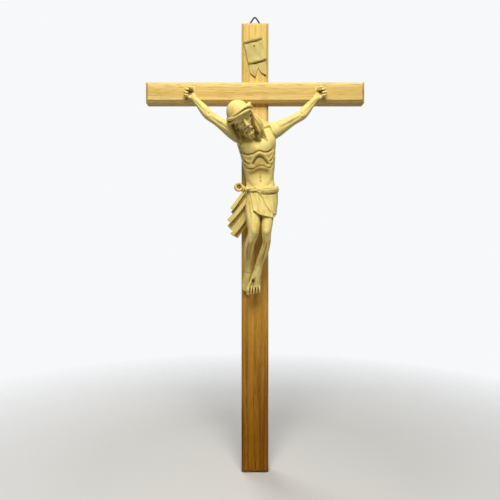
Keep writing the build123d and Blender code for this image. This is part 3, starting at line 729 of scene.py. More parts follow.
def carve_legs(cut):
    # Hollows of the thigh
    cut.stroke([(-8.0, 304.0), (-6.4, 288.0), (-4.6, 274.0)], 2.4, -0.6, 0.1)
    cut.stroke([(-1.0, 290.0), (1.0, 282.0), (0.8, 274.0)], 2.2, -0.5, 0.08)
    # Kneecaps, each with the groove round it and the hollow and cord below
    rim = [(-2.4, 269.2), (-3.5, 265.8), (-2.4, 262.6), (0, 261.2), (2.4, 262.6), (3.5, 265.8), (2.4, 269.2)]
    for x in (-1.6, 11.4):
        cut.stroke([(x, 266.4)], 3.2, 0.5)
        cut.stroke([(x + across, z) for across, z in rim], 1.7, -0.35, 0.22, taper=0.3)
        cut.stroke([(x - 2.0, 260.4), (x, 259.4), (x + 2.0, 260.6)], 2.6, -0.2, 0.4, taper=0)
        cut.stroke([(x - 0.6, 260.0), (x - 1.0, 257.0)], 1.4, 0.45)
    # Shins: a ridge of bone, a groove at each side of it, and the calf
    for ridge, calf in (
        ([(-4.4, 258.0), (-7.0, 246.0), (-7.6, 232.0)], [(-9.4, 257.0), (-10.8, 246.0), (-9.6, 234.0)]),
        ([(11.6, 258.0), (8.4, 246.0), (4.6, 232.0)], [(14.6, 256.0), (12.8, 246.0), (8.4, 236.0)]),
    ):
        calf_groove = [(x * 0.55 + u * 0.45, z) for (x, z), (u, _) in zip(ridge, calf)]
        other_groove = [(x * 1.4 - u * 0.4, z) for (x, z), (u, _) in zip(ridge, calf)]
        cut.stroke(ridge, 1.6, 0.7, taper=0.15)
        cut.stroke(calf_groove, 1.3, -0.5, 0.22, taper=0.2)
        cut.stroke(other_groove, 1.3, -0.4, 0.22, taper=0.2)
        cut.stroke([(u + 0.4, z) for u, z in calf], 2.2, 0.4, taper=0.3)
        # Stain and painted shade down the front of the shin, which faces down, away from the light
        cut.stroke(ridge, 5.5, 0.0, 0.26, taper=0.2)


def make_flesh():
    """Trunk and legs, left in millimetres for the loincloth to be wrapped round them."""
    bm = bmesh.new()
    limb(bm, TORSO, 40)
    for stations in (NECK, LEFT_SHOULDER, RIGHT_SHOULDER, RIGHT_LEG, LEFT_LEG):
        limb(bm, stations)
    # Stumps that reach a little way into the arms
    for side, sag in ARM_SAGS.items():
        root, joint, upper = arm_stations(side, sag)[:3]
        inside = [j + 0.45 * (u - j) for j, u in zip(joint, upper)]
        limb(bm, [root, joint, (*inside[:3], inside[3] - 0.35, inside[4] - 0.35)], steps=2)
    for kneecap in KNEECAPS:
        add_ball(bm, at(*kneecap), (3.9, 3.1, 4.8))
    flesh = piece_from(bm, "corpus_flesh", voxel=0.55, relax=9)
    cut = Carving(flesh)
    carve_trunk(cut)
    carve_legs(cut)
    cut.smooth(0.3)
    cut.rest_on(BOARD_FRONT)
    cut.finish(fine=4.2, broad=1.3)
    return flesh


UPPER_FOOT = (12.0, 30.0)  # depths between which each foot lies
LOWER_FOOT = (0.0, 13.0)
BIG_TOE_X = -7.6
TOE_SPREAD = 12.4  # from the big toe to the little one
TOE_NUDGES = (0.0, 0.3, -0.1, 0.15, 0.0)
FEET_NAIL_X = -2.0
FEET_NAIL_Z = 214.2


def make_feet():
    """Crossed feet, the figure's left over the right."""
    bm = bmesh.new()
    limb(bm, RIGHT_FOOT, 28)
    limb(bm, LEFT_FOOT, 28)
    # Upper foot: bones fan from the instep to five toes, the big toe at the viewer's left
    for k, nudge in enumerate(TOE_NUDGES):
        share = k / 4
        thick = 1.85 - 0.65 * share**0.5
        x = BIG_TOE_X + TOE_SPREAD * share + 0.9 * (1 - share) * share + nudge
        root = at(0.6 * x + 0.6, 18.4 - 0.8 * share, 205.6)
        ball = at(0.96 * x, 17.0 - 1.0 * share, 212.6 - 0.6 * share)
        middle = at(x, 17.6 - 1.0 * share, 216.6 - 1.2 * share)
        tip = at(x * 1.02, 15.6 - 0.4 * share, 219.8 - 2.0 * share)
        add_tube(bm, [at(0.3 * x + 1.6, 18.6, 200.0), root, ball], [0.9, 1.1, thick * 0.85], sides=12)
        add_tube(bm, [ball, middle, tip], [thick * 0.92, thick * 0.9, thick * 0.86], sides=12)
        add_ball(bm, tip, (thick * 0.98, thick, thick * 0.98))
        add_ball(bm, middle.lerp(ball, 0.2), (thick * 0.84, thick * 1.12, thick * 1.1))
    # Pad of the sole, which closes the gaps between the toes
    sole = [at(-0.6, 14.6, 211.0), at(-1.0, 14.4, 214.6), at(-1.2, 14.0, 217.2)]
    add_tube(bm, sole, [6.0, 6.2, 5.6], [2.0, 1.5, 1.1], 24)
    # Foot below: the toes that show beside it
    for k in range(4):
        share = k / 3
        thick = 1.5 - 0.3 * share
        x = -7.4 - 5.6 * share
        tip = at(x, 5.2, 218.6 - 2.8 * share)
        toe = [at(-8.2 - 3.0 * share, 6.4, 206.0), at(x * 0.98, 6.4, 213.0 - share), tip]
        add_tube(bm, toe, [0.8, thick, thick * 0.9], sides=12)
        add_ball(bm, tip, (thick, thick, thick))
    # Ankle bones
    for x, depth, drop in ((-9.9, 10.0, 193.0), (-4.7, 10.4, 192.0), (6.5, 18.2, 192.6), (0.4, 18.4, 191.4)):
        add_ball(bm, at(x, depth, drop), (1.2, 2.0, 2.4))
    feet = piece_from(bm, "corpus_feet", voxel=0.33, relax=5)
    cut = Carving(feet)
    # Instep: a tendon, and the dent and stain round the nail
    nail = (FEET_NAIL_X, FEET_NAIL_Z)
    cut.stroke([(4.2, 228.0), (1.6, 222.0), (0.2, 216.6)], 1.5, 0.6, window=UPPER_FOOT)
    cut.stroke([nail], 3.6, -0.6, 0.8, window=UPPER_FOOT)
    cut.stroke([(-1.2, 219.0), nail, (-2.6, 206.0)], 2.6, -0.2, 0.5, window=UPPER_FOOT)
    cut.stroke([(6.2, 222.0), (5.4, 214.0), (5.0, 207.0)], 1.6, -0.3, 0.35, window=UPPER_FOOT)
    cut.read_normals()
    # Gaps between the toes, and the grooves that run back from them
    for k in range(4):
        share = (k + 0.5) / 4
        x = BIG_TOE_X + TOE_SPREAD * share
        gap = [(0.86 * x, 207.4), (x, 203.4), (1.02 * x, 199.4)]
        groove = [(0.42 * x + 0.6, 215.0), (0.62 * x + 0.4, 211.6), (0.8 * x, 208.4)]
        cut.stroke(gap, 0.95, -0.3, 1.3, window=UPPER_FOOT, taper=0.15)
        cut.stroke(groove, 0.9, -0.3, 0.4, window=UPPER_FOOT)
    cut.stroke([(-4.6, 221.0), (-6.0, 212.0), (-8.6, 204.0)], 1.4, 0.0, 0.6, window=LOWER_FOOT)
    cut.stroke([(-11.4, 225.0), (-9.6, 222.4), (-7.2, 221.6), (-3.8, 223.0)], 1.2, -0.35, 0.4, taper=0.3)
    cut.rest_on(BOARD_FRONT)
    cut.finish(fine=3.0, broad=1.0)
    settle(feet, "corpus_body", FLESH_WOOD)


make_feet()


# Fingers, as (x, drop, size) in the hand
FINGERS = ((1.4, -4.5, 0.95), (3.7, -2.4, 1.0), (4.5, 0.9, 0.98), (4.1, 4.0, 0.88))
# Forms beside the arm's line, as (first section, last, height above, radius, height, stain and painted shade)
ARM_FORMS = (
    (1, 3, 2.6, 5.0, 0.9, 0.0),
    (2, 4, 1.2, 4.0, 0.8, 0.0),
    (1, 5, -1.6, 1.8, -0.55, 0.14),
    (2, 5, 3.0, 1.5, -0.5, 0.1),
    (4, 6, 2.4, 2.6, 0.7, 0.0),
    (5, 8, 0.9, 1.2, -0.4, 0.14),
    (4, 8, -1.5, 1.3, -0.45, 0.2),
    (5, 8, 2.4, 1.1, -0.35, 0.15),
    (5, 8, -0.2, 0.9, 0.35, 0.0),
)


def make_arm(side, name, node):
    """An arm with its half closed hand. side is +1 to the viewer's right."""
    bm = bmesh.new()
    stations = arm_stations(side, ARM_SAGS[side])
    limb(bm, stations[1:], 24, 6)

    def hand(x, depth, drop):
        return at(side * (HAND_X + x), CROSSBAR_PROUD + 3.0 + depth, HAND_DROP + drop)

    palm = [
        hand(-5.4, 2.6, 9.4),
        hand(-3.6, 1.4, 6.4),
        hand(-0.6, 0.2, 2.8),
        hand(1.2, -0.2, -0.8),
        hand(1.6, -0.4, -4.2),
    ]
    add_tube(bm, palm, [2.7, 3.8, 4.8, 4.6, 3.2], [2.5, 2.8, 2.8, 2.4, 1.8], 20)
    # Heel of the hand and the pads below the thumb and the little finger
    add_ball(bm, hand(-3.6, 1.6, 4.4), (2.3, 2.2, 3.0))
    add_ball(bm, hand(0.6, 1.4, 6.0), (2.5, 2.2, 2.3))
    for x, drop, size in FINGERS:
        line = [
            hand(x - 1.8, -0.2, drop + 0.9),
            hand(x + 0.9, 0.9, drop - 0.2),
            hand(x + 1.8, 3.4, drop),
            hand(x + 0.4, 5.5, drop + 0.5),
            hand(x - 1.5, 5.7, drop + 0.9),
        ]
        add_tube(bm, line, [size * share for share in (1.4, 1.35, 1.4, 1.25, 1.0)], sides=12)
        add_ball(bm, line[-1], [1.05 * size] * 3)
    thumb = [hand(-3.6, 1.0, 4.4), hand(-4.7, 2.2, 0.8), hand(-4.1, 3.4, -2.0), hand(-2.3, 4.4, -4.0)]
    add_tube(bm, thumb, [2.0, 1.65, 1.45, 1.1], sides=12)
    add_ball(bm, thumb[-1], (1.25, 1.25, 1.25))
    arm = piece_from(bm, name, voxel=0.32, relax=4)
    cut = Carving(arm)
    line = [(x, CROSSBAR_Z - drop) for x, _, drop, _, _ in stations]

    def beside(start, end, off):
        """A run of the arm's line, moved up across the arm."""
        run = [Vector(p) for p in line[start:end]]
        moved = []
        for i, p in enumerate(run):
            way = (run[min(i + 1, len(run) - 1)] - run[max(i - 1, 0)]).normalized()
            up = Vector((-way.y, way.x)) * side
            moved.append(tuple(p + up * off))
        return moved

    # Shoulder cap, upper arm and the cords of the forearm
    for first, last, above, radius, height, stain_and_shade in ARM_FORMS:
        cut.stroke(beside(first, last, above), radius, height, stain_and_shade)
    # Elbow, with the crease inside it
    x, z = line[4]
    cut.stroke([(x, z - 2.4)], 2.6, 0.6)
    cut.stroke([(x - side * 2.2, z + 1.4), (x + side * 0.6, z - 0.6)], 1.2, -0.5, 0.25)
    cut.read_normals()
    # Hollow of the palm, with stain round the nail, and painted shade in the hollow and under the fingers
    hollow_stain_and_shade, finger_stain_and_shade = PALM_STAIN_AND_SHADE[side]
    hollow = [(side * 69.6, 419.8), (side * 70.8, 417.6)]
    under_fingers = [(side * 72.4, 421.4), (side * 73.6, 419.6), (side * 74.0, 416.6)]
    cut.stroke(hollow, 4.6, -0.9, hollow_stain_and_shade, window=(CROSSBAR_PROUD, CROSSBAR_PROUD + 6.4), taper=0)
    cut.stroke(under_fingers, 2.6, 0.0, finger_stain_and_shade, window=(CROSSBAR_PROUD, CROSSBAR_PROUD + 6.0))
    cut.stroke([(side * 66.6, 413.2), (side * 68.2, 414.6)], 1.2, -0.3, 0.3)
    cut.smooth(0.3)
    cut.rest_on(CROSSBAR_FRONT)
    cut.finish(fine=2.8, broad=1.1)
    settle(arm, node, FLESH_WOOD)


make_arm(-1, "carved_right_arm", "right_arm")
make_arm(1, "carved_left_arm", "left_arm")


# Hair at each side of the face: a run beside the cheek and an outer run, as (x, depth, drop) points
LEFT_HAIR = (
    [
        (-6.4, 43.0, 31.5), (-3.4, 44.4, 38.0), (-1.6, 44.2, 44.5),
        (0.6, 41.8, 50.5), (3.0, 37.8, 55.6), (5.4, 33.8, 59.0),
    ],
    [
        (-4.0, 35.5, 31.0), (2.4, 36.0, 35.6), (5.8, 35.0, 40.6),
        (9.0, 33.0, 46.5), (9.8, 31.8, 52.5), (12.9, 30.2, 57.6),
    ],
)
RIGHT_HAIR = (
    [
        (-25.0, 44.0, 41.0), (-23.4, 44.8, 46.0), (-20.6, 44.0, 51.0),
        (-17.6, 41.4, 56.0), (-15.2, 37.4, 60.6), (-13.4, 33.6, 64.0),
    ],
    [
        (-27.6, 37.4, 36.0), (-28.2, 37.8, 42.0), (-25.4, 37.0, 48.0),
        (-21.0, 35.4, 54.0), (-17.6, 34.0, 60.0), (-14.6, 32.2, 65.4),
    ],
)


def hair_strand(hair, share, wave, out=0.0, gather=0.0):
    """A strand between the cheek side (share 0) and the outer side (share 1) of the hair."""
    lock = 0.12 if share < 0.45 else 0.88
    run = []
    for i, (inner, outer) in enumerate(zip(*hair)):
        place = share + gather * (lock - share) * max(0.0, (i - 2) / 3)
        x, depth, drop = (a + place * (b - a) for a, b in zip(inner, outer))
        sway = wave * sin(2.1 * i + 5.0 * share)
        run.append(at(x + sway, depth + 0.6 * sway + out, drop + 0.4 * sway))
    return run


def make_skull():
    """Skull and the large forms of the face, softened before the rest is set on."""
    bm = bmesh.new()
    head_ball(bm, 0, 4.4, -0.6, (10.6, 11.2, 12.4))
    head_ball(bm, 0, -3.0, 1.6, (8.3, 11.0, 8.9))
    head_ball(bm, 0, -9.4, 3.9, (6.2, 5.2, 6.5))
    head_ball(bm, 0, -12.6, 7.6, (3.4, 2.6, 2.8))
    head_tube(bm, [(0, 4.0, 9.6), (0, 1.6, 10.6), (0, -1.8, 12.2), (0, -4.9, 13.7)], (1.7, 1.3, 1.6, 1.8))
    for side in (-1, 1):
        head_ball(bm, side * 4.7, -3.2, 6.0, (3.5, 2.6, 3.3))
        brow = [(side * 6.8, 1.9, 7.2), (side * 4.2, 3.0, 9.4), (side * 1.2, 2.4, 10.6)]
        head_tube(bm, brow, (1.2, 1.5, 1.4))
        head_ball(bm, side * 1.5, -5.2, 11.6, (1.3, 1.1, 1.4))
    return piece_from(bm, "corpus_head", voxel=0.4, relax=10)


def add_lids_and_mouth(bm):
    for side in (-1, 1):
        head_ball(bm, side * 3.6, -0.1, 8.0, (2.0, 1.5, 1.85))
        # Moustache in three strands each side, running into the beard
        for k in range(3):
            low = 0.55 * k
            line = [
                (side * 0.5, -7.2 - 0.4 * low, 11.3),
                (side * 2.0, -7.7 - low, 11.0),
                (side * 3.6, -8.9 - 0.8 * low, 9.9),
                (side * (4.9 - 0.2 * k), -10.8 - 0.4 * low, 8.4),
            ]
            head_tube(bm, line, (0.3, 0.5, 0.5, 0.35))
    head_tube(bm, [(-1.9, -9.0, 10.1), (0, -8.8, 11.0), (1.9, -9.0, 10.1)], (0.35, 0.55, 0.35))
    head_tube(bm, [(-1.7, -10.0, 10.0), (0, -10.2, 10.8), (1.7, -10.0, 10.0)], (0.4, 0.65, 0.4))


def add_beard(bm):
    """Short beard in rows of curls."""
    head_ball(bm, 0, -13.6, 5.6, (5.6, 4.0, 4.6))
    for row, count in enumerate((11, 10, 7, 4)):
        for k in range(count):
            share = (k + 0.5) / count * 2 - 1
            swing = abs(share)
            side = 7.3 * share * (1 - 0.09 * row)
            up = -11.2 - 1.0 * (1 - swing) - 1.75 * row * (1 - 0.3 * swing) + 5.6 * swing**3
            face = 9.2 - 6.0 * swing**2 - 0.75 * row
            curl = 0.75 if (k + row) % 2 else -0.75
            line = [
                (side, up, face - 0.2),
                (side + 0.7 * curl, up - 1.0, face + 0.95),
                (side + 0.2 * curl, up - 2.1, face + 1.25),
                (side - 0.8 * curl, up - 2.6, face + 0.35),
                (side - 0.9 * curl, up - 3.3, face + 0.15),
            ]
            head_tube(bm, line, (0.75, 1.0, 1.0, 0.8, 0.4), 4)


def add_hair(bm):
    """Hair over the brow, round the back of the head and down both sides of the face."""
    head_ball(bm, 0, -2.0, -4.6, (11.0, 12.6, 8.6))
    for side in (-1, 1):
        for k in range(6):
            spread = k / 5
            wave = 0.5 if k % 2 else -0.4
            line = [
                (side * (0.5 + 2.6 * spread), 6.4, 10.0 - 1.4 * spread),
                (side * (4.0 + 2.4 * spread), 4.9 - 0.4 * spread, 9.2 - 2.6 * spread),
                (side * (7.4 + 1.4 * spread + 0.3 * wave), 1.2, 6.6 - 3.6 * spread),
                (side * (8.8 + 1.6 * spread), -3.6 + wave, 4.4 - 4.4 * spread),
                (side * (8.9 + 2.0 * spread), -8.6, 2.8 - 4.2 * spread),
                (side * (8.4 + 2.2 * spread - 0.4 * wave), -12.6, 1.4 - 3.6 * spread),
            ]
            head_tube(bm, line, (0.6, 1.0, 1.25, 1.3, 1.25, 0.9), 5)
    for k in range(9):
        share = k / 8 * 2 - 1
        line = [
            (8.0 * share, 4.0, -10.4 + 3.4 * share**2),
            (9.6 * share, -4.0, -12.2 + 4.4 * share**2),
            (9.0 * share + 0.6, -11.0, -11.4 + 3.6 * share**2),
            (7.6 * share - 0.6, -17.5, -9.0),
        ]
        head_tube(bm, line, (1.5, 1.8, 1.7, 0.8), 5)
    for hair in (LEFT_HAIR, RIGHT_HAIR):
        for k in range(9):
            strand = hair_strand(hair, k / 8, 1.15 if k % 2 else 0.75, 0.4 * (k % 3), 0.8)
            add_tube(bm, strand, (1.1, 1.3, 1.3, 1.2, 1.05, 0.6), sides=10)
        for k in range(4):
            strand = hair_strand(hair, 0.15 + 0.25 * k, 0.9, -2.2, 0.8)
            add_tube(bm, strand, (1.9, 2.2, 2.2, 2.0, 1.5, 0.6), sides=10)


def carve_head(cut):
    def cutting(points, radius, height, stain_and_shade=0.0, taper=0.2):
        cut.stroke([on_head(*p) for p in points], radius, height, stain_and_shade, flat=False, taper=taper)

    def at_side(side, points, radius, height, stain_and_shade=0.0):
        cutting([(side * across, up, face) for across, up, face in points], radius, height, stain_and_shade)

    # Lowered lids under the brow, nose wings and the line of the mouth
    upper_lid = [(1.8, 0.4, 9.4), (3.0, 1.2, 9.9), (4.4, 1.1, 9.5), (5.7, 0.0, 8.4)]
    lower_lid = [(1.8, -0.6, 9.4), (3.0, -1.05, 9.9), (4.3, -1.0, 9.6), (5.5, -0.3, 8.4)]
    for side in (-1, 1):
        at_side(side, upper_lid, 0.7, -0.45, 0.3)
        at_side(side, lower_lid, 0.5, -0.4, 0.5)
        at_side(side, [(2.2, -1.8, 9.3), (3.6, -2.4, 9.3), (5.0, -2.0, 8.8)], 0.8, -0.2, 0.1)
        at_side(side, [(1.7, -4.3, 12.2), (2.5, -5.2, 11.4), (2.2, -6.2, 11.0)], 0.6, -0.3, 0.25)
        at_side(side, [(0.7, -6.3, 12.4)], 0.5, -0.4, 0.5)
    cutting([(-2.0, -9.5, 10.2), (0, -9.5, 11.3), (2.0, -9.5, 10.2)], 0.5, -0.4, 0.7, 0.1)
    cutting([(0, -11.4, 10.2)], 0.9, -0.3, 0.3)
    beard = [(-6.4, -9.0, 6.4), (-4.0, -13.4, 8.4), (0, -15.4, 8.8), (4.0, -13.4, 8.4), (6.4, -9.0, 6.4)]
    cutting(beard, 5.0, 0.0, 0.42, 0)
    cut.read_normals()
    # Shade of the hair beside the cheeks, the cuts between strands, and soft dents on the crown of the head
    before = 1.2  # from the middle of the strands to their fronts
    for hair, shade in ((LEFT_HAIR, 0.5), (RIGHT_HAIR, 0.8)):
        cut.stroke(hair_strand(hair, 0.0, 0.0, before)[:5], 3.8, 0.0, 1.25, flat=False, taper=0.1)
        cut.stroke(hair_strand(hair, 0.45, 0.0, before)[1:5], 4.2, 0.0, shade, flat=False, taper=0.2)
        for k in range(11):
            run = hair_strand(hair, 0.04 + 0.092 * k, 0.9, before + 0.3, 0.8)
            cut.stroke(flow(run, 4), 0.66, -0.45, 0.8, flat=False, taper=0.12)
    for side in (-1, 1):
        at_side(side, [(8.2, 0.6, 6.2), (9.0, -5.0, 4.6), (8.6, -9.6, 3.4)], 1.9, 0.0, 0.6)
        at_side(side, [(1.5, 14.0, 3.0), (5.4, 11.6, 5.4), (8.2, 7.4, 6.4)], 1.8, -0.35, 0.08)
        at_side(side, [(2.6, 14.2, -2.4), (7.0, 11.0, -3.4), (10.0, 6.6, -4.0)], 1.8, -0.35, 0.08)


def make_head():
    skull = make_skull()
    bm = bmesh.new()
    bm.from_mesh(skull.data)
    bpy.data.objects.remove(skull)
    add_lids_and_mouth(bm)
    add_beard(bm)
    add_hair(bm)
    head = piece_from(bm, "corpus_head", voxel=0.305, relax=2)
    cut = Carving(head)
    carve_head(cut)
    cut.rest_on(BOARD_FRONT)
    cut.finish(fine=4.8, broad=1.7)
    settle(head, "corpus_body", FLESH_WOOD)


make_head()


def make_crown():
    """Crown of three thick stems, slowly twisted round each other."""
    bm = bmesh.new()
    radius = 11.8
    rope = 1.5
    steps = 72
    for strand in range(3):
        line = []
        thick = []
        for k in range(steps):
            turn = 2 * pi * k / steps
            twist = 2 * turn + 2 * pi * strand / 3 + 0.6 * sin(2 * turn) + 0.5
            out = radius + 0.55 * rope * cos(twist) + 0.3 * sin(3 * turn + strand)
            face = 1.05 * out * sin(turn) + 0.4
            up = 3.0 + 0.40 * face + 0.10 * out * cos(turn) + 1.35 * rope * sin(twist)
            line.append((out * cos(turn), up, face))
            thick.append(1.32 + 0.2 * sin(5 * turn + 2.0 * strand))
        head_tube(bm, line + line[:1], thick + thick[:1], 1, 12)
    # A core that closes the gaps between the stems
    core = []
    for k in range(steps):
        turn = k * pi / (steps / 2)
        up = 3.0 + (0.42 * sin(turn) + 0.10 * cos(turn)) * radius
        core.append((radius * cos(turn), up, 1.05 * radius * sin(turn)))
    head_tube(bm, core + core[:1], [1.3] * (steps + 1), 1, 12)
    crown = piece_from(bm, "thorn_crown", voxel=0.29, relax=2)
    Carving(crown).finish(fine=7.5, broad=3.6)
    settle(crown, "corpus_body", FLESH_WOOD)


make_crown()


WRAP_AXIS = at(9.0, 18.0, 0.0)  # upright line that the loincloth is wrapped round
WRAP_STEP = 2.0  # degrees
WRAP_TURNS = np.radians(np.arange(-64.0, 232.0, WRAP_STEP))
WRAP_LEVELS = np.arange(274.0, 324.0, 1.0)
WRAP_REACH = 60.0  # a distance from the axis that lies outside the flesh
WRAP_LEAST = 4.0  # where no flesh is met


class Wrap:
    """Cloth drawn tight over the hips and thighs, measured outward from its axis."""

    def __init__(self, flesh):
        corners = [v.co.copy() for v in flesh.vertices]
        tree = BVHTree.FromPolygons(corners, [tuple(p.vertices) for p in flesh.polygons])
        reach = np.empty((len(WRAP_LEVELS), len(WRAP_TURNS)))
        for i, z in enumerate(WRAP_LEVELS):
            for j, turn in enumerate(WRAP_TURNS):
                way = Vector((cos(turn), -sin(turn), 0))
                start = Vector((WRAP_AXIS.x, WRAP_AXIS.y, z)) + way * WRAP_REACH
                hit = tree.ray_cast(start, -way)
                reach[i, j] = WRAP_REACH - hit[3] if hit[0] else WRAP_LEAST
        # Cloth spans the hollows between the thighs
        for _ in range(14):
            for step in (2, 4):
                spanned = reach.copy()
                spanned[:, step:-step] = (reach[:, : -2 * step] + reach[:, 2 * step :]) / 2
                reach = np.maximum(reach, spanned)
        for _ in range(3):
            reach[1:-1] = 0.5 * reach[1:-1] + 0.25 * (reach[:-2] + reach[2:])
        self.reach = reach

    def radius(self, turn, z):
        row = np.clip(z - WRAP_LEVELS[0], 0, len(WRAP_LEVELS) - 1.001)
        column = np.clip((turn - WRAP_TURNS[0]) / np.radians(WRAP_STEP), 0, len(WRAP_TURNS) - 1.001)
        i, j = int(row), int(column)
        a, b = row - i, column - j
        low = self.reach[i, j] * (1 - b) + self.reach[i, j + 1] * b
        high = self.reach[i + 1, j] * (1 - b) + self.reach[i + 1, j + 1] * b
        return low * (1 - a) + high * a

    def point(self, turn, z, out):
        """A point at an angle round the axis (0 at the viewer's right, front at a quarter turn)."""
        r = self.radius(turn, z) + out
        return Vector((WRAP_AXIS.x + r * cos(turn), WRAP_AXIS.y - r * sin(turn), z))

    def turn_at(self, x, z):
        """The angle at which the front of the cloth crosses a given x."""
        turns = np.radians(np.arange(0.0, 181.0, 1.0))
        places = [self.point(t, z, 0).x for t in turns]
        return turns[int(np.argmin(np.abs(np.array(places) - x)))]


def add_cloth(bm, place, across, down, thick):
    """A sheet laid by place(u, v), and given thickness."""
    made = bmesh.ops.create_grid(bm, x_segments=across, y_segments=down, size=0.5)["verts"]
    faces = list({f for v in made for f in v.link_faces})
    for vert in made:
        vert.co = place(vert.co.x + 0.5, 0.5 - vert.co.y)
    bmesh.ops.recalc_face_normals(bm, faces=faces)
    bmesh.ops.solidify(bm, geom=faces, thickness=thick)


BACK_TURN = radians(-58)  # where both panels end, behind the hip
LEFT_EDGE = [(308.0, -4.0), (300.0, -2.9), (293.0, -1.8), (286.0, -0.9)]  # (z, x), at the viewer's left
# Lower edges of the two panels and the line of the belt, as (x, z)
UNDER_HEM = [
    (-0.9, 287.2), (1.4, 285.2), (3.9, 283.4), (9.9, 281.8),
    (18.4, 280.2), (20.4, 281.4), (22.4, 285.0), (30.0, 286.0),
]
OVER_EDGE = [
    (1.8, 308.4), (4.4, 305.4), (7.6, 301.6), (11.2, 294.2), (15.2, 287.4),
    (18.4, 284.4), (21.0, 283.8), (22.6, 285.4), (30.0, 286.4),
]
BELT = [(-13.6, 312.4), (-10.0, 311.8), (-5.5, 311.0), (-1.4, 310.2), (2.8, 309.2), (6.6, 308.2)]
# Rolled edge over the hip, as (x, z, half height, half thickness)
HIP_ROLL = [
    (-0.6, 314.0, 0.6, 0.7), (2.0, 312.0, 1.3, 1.2), (5.0, 310.4, 2.2, 1.7), (9.0, 309.4, 3.0, 2.1),
    (13.0, 309.6, 3.4, 2.3), (17.0, 310.4, 3.6, 2.4), (20.6, 311.4, 3.7, 2.5),
]
# Creases of the roll and soft pulls under the belt, with painted shadow under the roll, as (line, radius,
# height, stain and painted shade, taper)
CREASES = (
    ([(4.6, 311.2), (10.0, 310.6), (16.0, 311.4), (22.0, 312.4)], 0.9, -0.45, 0.4, 0.25),
    ([(12.0, 308.4), (18.0, 308.9), (24.0, 310.4)], 0.7, -0.3, 0.25, 0.25),
    ([(22.6, 315.6), (25.6, 313.4), (27.0, 311.2)], 1.0, -0.6, 0.5, 0.25),
    ([(-3.0, 306.6), (-1.8, 298.0), (0.8, 288.0)], 1.2, -0.3, 0.12, 0.25),
    ([(2.0, 305.0), (4.4, 297.0), (6.6, 286.0)], 1.8, -0.5, 0.2, 0.25),
    ([(7.0, 299.0), (10.4, 291.0), (13.6, 284.6)], 1.6, -0.5, 0.28, 0.25),
    ([(12.0, 304.0), (15.6, 296.0), (19.0, 288.0)], 2.4, -0.45, 0.1, 0.25),
    ([(18.0, 305.0), (20.6, 298.0), (21.6, 290.0)], 2.0, -0.4, 0.08, 0.25),
    # Groove with painted shadow under the rolled edge over the hip
    ([(4.0, 306.6), (9.0, 305.2), (14.0, 305.2), (23.0, 307.0)], 1.3, -0.5, 1.1, 0.15),
    ([(1.0, 312.6), (6.0, 311.6), (12.0, 312.6), (20.0, 314.0)], 0.9, -0.4, 0.35, 0.25),
    ([(-3.6, 308.2), (0.0, 307.6), (4.0, 306.6)], 0.9, -0.3, 0.5, 0.25),
)


def along(table, value):
    """A value read from a table of pairs, in a straight line between them."""
    return float(np.interp(value, [row[0] for row in table], [row[1] for row in table]))


def add_panels(bm, wrap):
    """An under panel round the thighs, and an over panel drawn across it to the far hip."""
    under_top = 311.0
    over_top = 311.5
    left_turns = [wrap.turn_at(along(LEFT_EDGE[::-1], z), z) for z in WRAP_LEVELS]
    first = wrap.turn_at(1.8, 308.0)

    def front_x(turn, z):
        """Where a turn stands on the front; behind the hip the hems run level."""
        if turn < 0.35:
            return 30.0
        return wrap.point(turn, z, 1.4).x

    def under_panel(u, v):
        z = 286.0
        for _ in range(2):
            left = float(np.interp(z, WRAP_LEVELS, left_turns))
            turn = left + (BACK_TURN - left) * u**1.25
            hem = along(UNDER_HEM, front_x(turn, 284.0))
            z = under_top + (hem - under_top) * v
        fold = 0.75 * v * sin(20.0 * (left - turn) + 0.8) * max(0.0, 1 - 0.8 * u) * min(1.0, u * 12)
        bead = 0.45 * max(0.0, 1 - abs(v - 0.965) / 0.035) + 0.4 * max(0.0, 1 - u / 0.03)
        return wrap.point(turn, z, 1.5 + fold + bead)

    def over_panel(u, v):
        turn = first + (BACK_TURN - first) * u**1.15
        edge = along(OVER_EDGE, front_x(turn, 300.0 - 14.0 * min(1.0, u * 3.2)))
        z = over_top + (edge - over_top) * v
        bead = 0.7 * max(0.0, 1 - abs(v - 0.95) / 0.05)
        ridge = 0.35 * sin(9.0 * v + 5.0 * u) * v
        return wrap.point(turn, z, 2.7 + bead + ridge - 0.5 * v)

    add_cloth(bm, under_panel, 90, 44, 1.7)
    add_cloth(bm, over_panel, 90, 44, 1.9)


def add_belt(bm, wrap):
    """Rope of two strands from the knot to the middle, and a plain band on round the back."""
    for strand in range(2):
        line = []
        for place in flow([(x, 0, z) for x, z in BELT], 5):
            x, z = place.x, place.z
            twist = 0.42 * (x + 13.6) + pi * strand
            line.append(wrap.point(wrap.turn_at(x, z), z + 1.15 * sin(twist), 1.5 + 0.55 * cos(twist)))
        add_tube(bm, line, [1.35] * len(line), sides=12, steps=1)
    around = [wrap.point(radians(t), 312.4 + 0.01 * (t - 165), 1.2) for t in range(160, 232, 6)]
    add_tube(bm, around, [1.5] * len(around), [2.0] * len(around), steps=1, facing=UP)


def add_hip_roll(bm, wrap):
    """Rolled edge that lies over the hip and runs round to the back."""
    line = [wrap.point(wrap.turn_at(x, z), z, 1.9) for x, z, _, _ in HIP_ROLL]
    tall = [row[2] for row in HIP_ROLL]
    thick = [row[3] for row in HIP_ROLL]
    last_x, last_z, last_tall, _ = HIP_ROLL[-1]
    start = wrap.turn_at(last_x, last_z)
    for k in range(1, 9):
        turn = start + (BACK_TURN - start) * k / 8
        line.append(wrap.point(turn, last_z + 0.35 * k, 1.7))
        tall.append(last_tall)
        thick.append(2.2)
    add_tube(bm, line, thick, tall, sides=18, steps=2, facing=UP)


